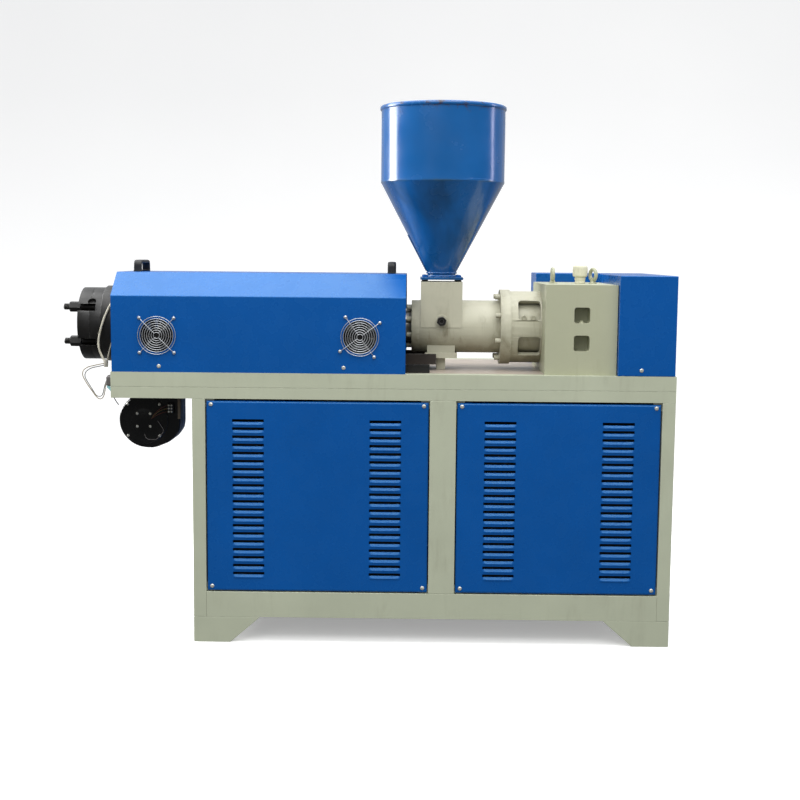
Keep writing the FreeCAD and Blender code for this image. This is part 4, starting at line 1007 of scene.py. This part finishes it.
def bundle(looks):
    """The wrap that holds the leads together, and the gland and tag below it."""
    x, y = middle("cable_tie").xy
    base = corners("cable_tie")[0].z
    wrap = Maker()
    profile = [(3, 0), (6.2, 0.4), (6.6, 2), (6.4, 5), (6.9, 8), (6.6, 12), (7.2, 16), (7, 20),
               (6.2, 23.4), (3, 24)]
    wrap.lathe(profile, (x, y, base), "z", 28)
    wrap.piece("lead_wrap", looks["sleeve"], "thin_wire", ["cable_tie"], angle=60)
    lo, hi = corners("beam_gland")
    gland = Maker()
    gland.block((lo.x + 4, lo.y + 3, hi.z - 33), (hi.x, hi.y - 3, hi.z - 2), 6, steps=4)
    gland.lathe([(0.01, hi.z), (6, hi.z), (7, hi.z - 1), (7, hi.z - 6)],
                (lo.x + 14, (lo.y + hi.y) / 2, 0), "z", 24)
    outline = [(lo.x + 6, hi.z - 30), (lo.x + 13, hi.z - 31), (hi.x - 1, lo.z + 1),
               (hi.x - 6, lo.z + 0.5), (lo.x + 6, hi.z - 38)]
    gland.prism(outline, lo.y + 9, lo.y + 11, "y", 0.4, 1)
    gland.piece("beam_gland_and_tag", [looks["gland"], looks["tag"]], "black_plastic",
                ["beam_gland"], angle=50)


# ---- blower


def blower(looks):
    lo, hi = corners("blower_scroll")
    cover_lo, cover_hi = corners("blower_cover")
    table = corners("front_beam")[0].z
    hub = middle("blower_cover").xz
    right, low = hi.x - hub[0], hub[1] - lo.z
    # the scroll's reach from the hub at each angle, anticlockwise from the top left
    reaches = [(106, low - 5), (140, low - 8), (180, hub[0] - lo.x), (225, low - 7), (270, low),
               (306, low + 9), (326, low + 21), (344, right + 1), (360, right)]
    outline = []
    for step in range(64):
        angle = 106 + 254 * step / 63
        reach, turn = between(reaches, angle), math.radians(angle)
        outline.append((hub[0] + reach * math.cos(turn), hub[1] + reach * math.sin(turn)))
    outline += [(hi.x, hi.z), (hi.x - 73, hi.z), (hi.x - 73, hub[1] + 108),
                (hi.x - 105, hub[1] + 100)]
    made = Maker()
    made.prism(outline, lo.y, hi.y, "y", 5, steps=3)
    made.piece("blower_volute", looks["volute"], "blower_black", ["blower_scroll"], angle=40)
    cover = Maker()
    cover.lathe([(76.5, cover_hi.y - cover_lo.y), (76.5, 1.5), (75.5, 0.4), (66, 0.2), (63, 1.8),
                 (38, 2.2), (35, 0.4), (24, 0), (20, -1.5), (0.01, -2)],
                (hub[0], cover_lo.y, hub[1]), "y", 72)
    cover.piece("blower_cover_disc", looks["volute"], "blower_black", ["blower_cover"], angle=40)
    heads = Maker()
    for radius in (71, 29):
        for x, z in circle(4, radius, *hub, start=45):
            heads.screw((x, cover_lo.y + 0.4, z), "-y", 4.4, 3.8)
    heads.piece("blower_screw_heads", looks["bright"], "bright_fasteners", ["blower_bolts"])
    motor = Maker()
    near, far = (corner.y for corner in corners("blower_motor"))
    profile = [(30, near), (52, near + 1)]
    y = near + 4
    while y < far - 12:
        profile += [(52, y), (52, y + 2.4), (47, y + 2.8), (47, y + 6)]
        y += 6.4
    profile += [(51, far - 10), (50, far - 3), (46, far), (0.01, far)]
    motor.lathe(profile, (hub[0], 0, hub[1]), "y", 64)
    motor.piece("blower_motor_ribbed", looks["volute"], "blower_black", ["blower_motor"],
                angle=35)
    block_lo, block_hi = corners("blower_terminals")
    levels = (6, 16, 26)
    strip = Maker()
    strip.block(block_lo, block_hi, 1.2)
    for z in levels:
        for x in (7, 15.5):
            strip.screw(block_lo + Vector((x, 0.2, z)), "-y", 3, 1.6, 1)
    strip.piece("blower_terminal_strip", [looks["black_plastic"], looks["bright"]],
                "black_plastic", ["blower_terminals"])
    wires = Maker()
    on_cover = Vector((hub[0], cover_lo.y, hub[1]))
    for index, (x, z, rise) in enumerate(((24, 4, 4), (26, 8, 6), (30, 14, 5))):
        start = block_lo + Vector((2, -1, levels[index]))
        end = on_cover + Vector((x, -1.5, z))
        path = []
        for step in range(15):
            bow = math.sin(math.pi * step / 14)
            path.append(start.lerp(end, step / 14) + Vector((0, -3 * bow, rise * bow)))
        wires.wire(path, 0.9, look=index % 2)
    bends = [(44, -1, -2), (66, -3, -34), (40, -4, -62), (8, -3, -62), (2, -1, -44)]
    loop = rounded_path([on_cover + Vector(bend) for bend in bends], 16, 8)
    wires.wire(loop, 0.9, look=2)
    wires.piece("blower_terminal_wires",
                [looks["red_wire"], looks["yellow_wire"], looks["gland"]], "thin_wire")
    strap = Maker()
    strap.block((hi.x - 8, lo.y - 1.2, hub[1] + 4), (hi.x + 1.2, lo.y + 12, table - 1), 0.8)
    half = (hi.y - lo.y) / 2 - 3
    strap.sweep([(x, (lo.y + hi.y) / 2, z) for x, z in outline[44:64] + [(hi.x, table - 1)]],
                [(-half, -0.6), (half, -0.6), (half, 0.6), (-half, 0.6)], 1, side=(0, 1, 0))
    strap.piece("blower_edge_strap", [looks["strap"], looks["dark_sheet"]], "dark_sheet")


# ---- stage and light


def stage():
    """A pale floor that bends up behind, in metres."""
    made = bmesh.new()
    rows = []
    bend = arc((4, 2.5), 2.5, -84, 0, 14)
    profile = [(-9, 0), (-3, 0), (0, 0), (2.5, 0), (4, 0)] + bend + [(6.5, 5), (6.5, 9)]
    for y, z in profile:
        rows.append([made.verts.new((x, y, z)) for x in (-12, -4, 0, 4, 12)])
    for near, far in zip(rows, rows[1:]):
        for step in range(4):
            made.faces.new((near[step], near[step + 1], far[step + 1], far[step]))
    data = bpy.data.meshes.new("studio_sweep")
    made.to_mesh(data)
    made.free()
    data.shade_smooth()
    floor = put("studio_sweep", data)
    look = Nodes("studio_paper")
    tone = look.mix(look.span(look.noise(0.8, 2), 0.3, 0.7), (0.86, 0.86, 0.86, 1),
                    (0.89, 0.89, 0.885, 1))
    look.to(Base_Color=tone, Roughness=0.9, Emission_Color=(1, 1, 1, 1), Emission_Strength=0.32)
    look.bump(look.noise(60, 2), 0.05, 0.001)
    data.materials.append(look.material)
    floor.visible_glossy = False
    floor.visible_diffuse = False


def area_light(name, place, target, width, height, watts, colour=(1, 1, 1), mirrored=True):
    data = bpy.data.lights.new(name, "AREA")
    data.shape = "RECTANGLE"
    data.size = width
    data.size_y = height
    data.energy = watts
    data.color = colour
    made = put(name, data)
    made.location = place
    made.rotation_euler = (Vector(target) - Vector(place)).to_track_quat("-Z", "Y").to_euler()
    made.visible_camera = False
    made.visible_glossy = mirrored


def room():
    """A pale room whose mirrored image is dark near the ground and bright overhead."""
    world = bpy.data.worlds.new("studio")
    bpy.context.scene.world = world
    world.use_nodes = True
    made = Tree(world.node_tree)
    here = made.add("ShaderNodeTexCoord").outputs["Generated"]
    way = made.add("ShaderNodeSeparateXYZ", {"Vector": here}).outputs
    soft = made.tree.nodes["Background"]
    soft.inputs["Color"].default_value = (0.98, 0.99, 1, 1)
    made.connect(soft.inputs["Strength"], made.span(way["Z"], -0.1, 0.8, 0.42, 0.9))
    seen = made.add("ShaderNodeMath", operation="ADD")
    made.connect(seen.inputs[0], made.span(way["Z"], 0.12, 0.75, 0.07, 1.1))
    made.connect(seen.inputs[1], made.span(way["Y"], 0.1, 0.9, 0, 0.35))
    mirrored = made.add("ShaderNodeBackground", {"Color": (0.95, 0.98, 1, 1),
                                                 "Strength": seen.outputs[0]})
    behind = made.add("ShaderNodeBackground", {"Color": (1, 1, 1, 1), "Strength": 0.97})
    path = made.add("ShaderNodeLightPath").outputs
    last = soft.outputs[0]
    for ray, shown in (("Is Glossy Ray", mirrored), ("Is Camera Ray", behind)):
        choose = made.add("ShaderNodeMixShader")
        for socket, value in zip(choose.inputs, (path[ray], last, shown.outputs[0])):
            made.connect(socket, value)
        last = choose.outputs[0]
    made.connect(made.tree.nodes["World Output"].inputs["Surface"], last)


def lights():
    room()
    area_light("overhead", (0.1, -0.4, 3.6), (0.1, -0.35, 0.9), 4.5, 2.8, 140)
    area_light("front_high", (0.1, -3.6, 3.9), (0.1, 0, 0.6), 4.8, 1.8, 75)
    area_light("front", (-1.4, -4.8, 2.4), (0, 0, 0.8), 2.6, 2.0, 30, mirrored=False)
    area_light("left_window", (-2.35, 0.55, 1.5), (0.2, -0.1, 1.5), 1.0, 1.3, 60)
    area_light("left_high", (-2.35, 0.4, 2.6), (0.2, -0.1, 1.6), 1.9, 0.9, 34)
    area_light("right_window", (2.8, 0.35, 1.8), (0.2, -0.1, 1.4), 0.3, 1.6, 9,
               (0.86, 0.8, 1))
    bpy.context.scene.view_settings.view_transform = "Standard"


def build():
    looks = materials()
    camera()
    leads(looks)
    panels(looks)
    hood(looks)
    fan_guards(looks)
    handles(looks)
    hopper(looks)
    die_end(looks)
    fastener_rings(looks)
    gearbox_top(looks)
    blower(looks)
    shade_behind_panels(looks)
    bundle(looks)
    drive_details(looks)
    carry(looks["frame"], 2.2, "front_beam", "rear_beam", "cross_beams", "legs", "floor_rails",
          "feet", steps=3)
    carry(looks["table"], 1.5, "table_plate")
    carry(looks["frame"], 0.6, "panel_lugs")
    carry(looks["blue"], 2.5, "belt_guard", steps=3)
    carry(looks["cast"], 1.8, "feed_housing", "feed_support", "bell_housing",
          "bearing_housing")
    carry(looks["case"], 2.0, "gearbox_case")
    carry(looks["black_steel"], 3, "die_flange", steps=3)
    carry(looks["black_steel"], 2, "barrel_collar", steps=3)
    carry(looks["machined"], 0.8, "barrel", "extruder_screw", "heater_bands")
    carry(looks["black_plastic"], 0.5, "fans", "cable_trunking")
    carry(looks["dark_sheet"], 0.6, "hood_tray", "tray_runners")
    carry(looks["ceramic"], 0.8, "lead_terminals")
    stage()
    lights()


build()
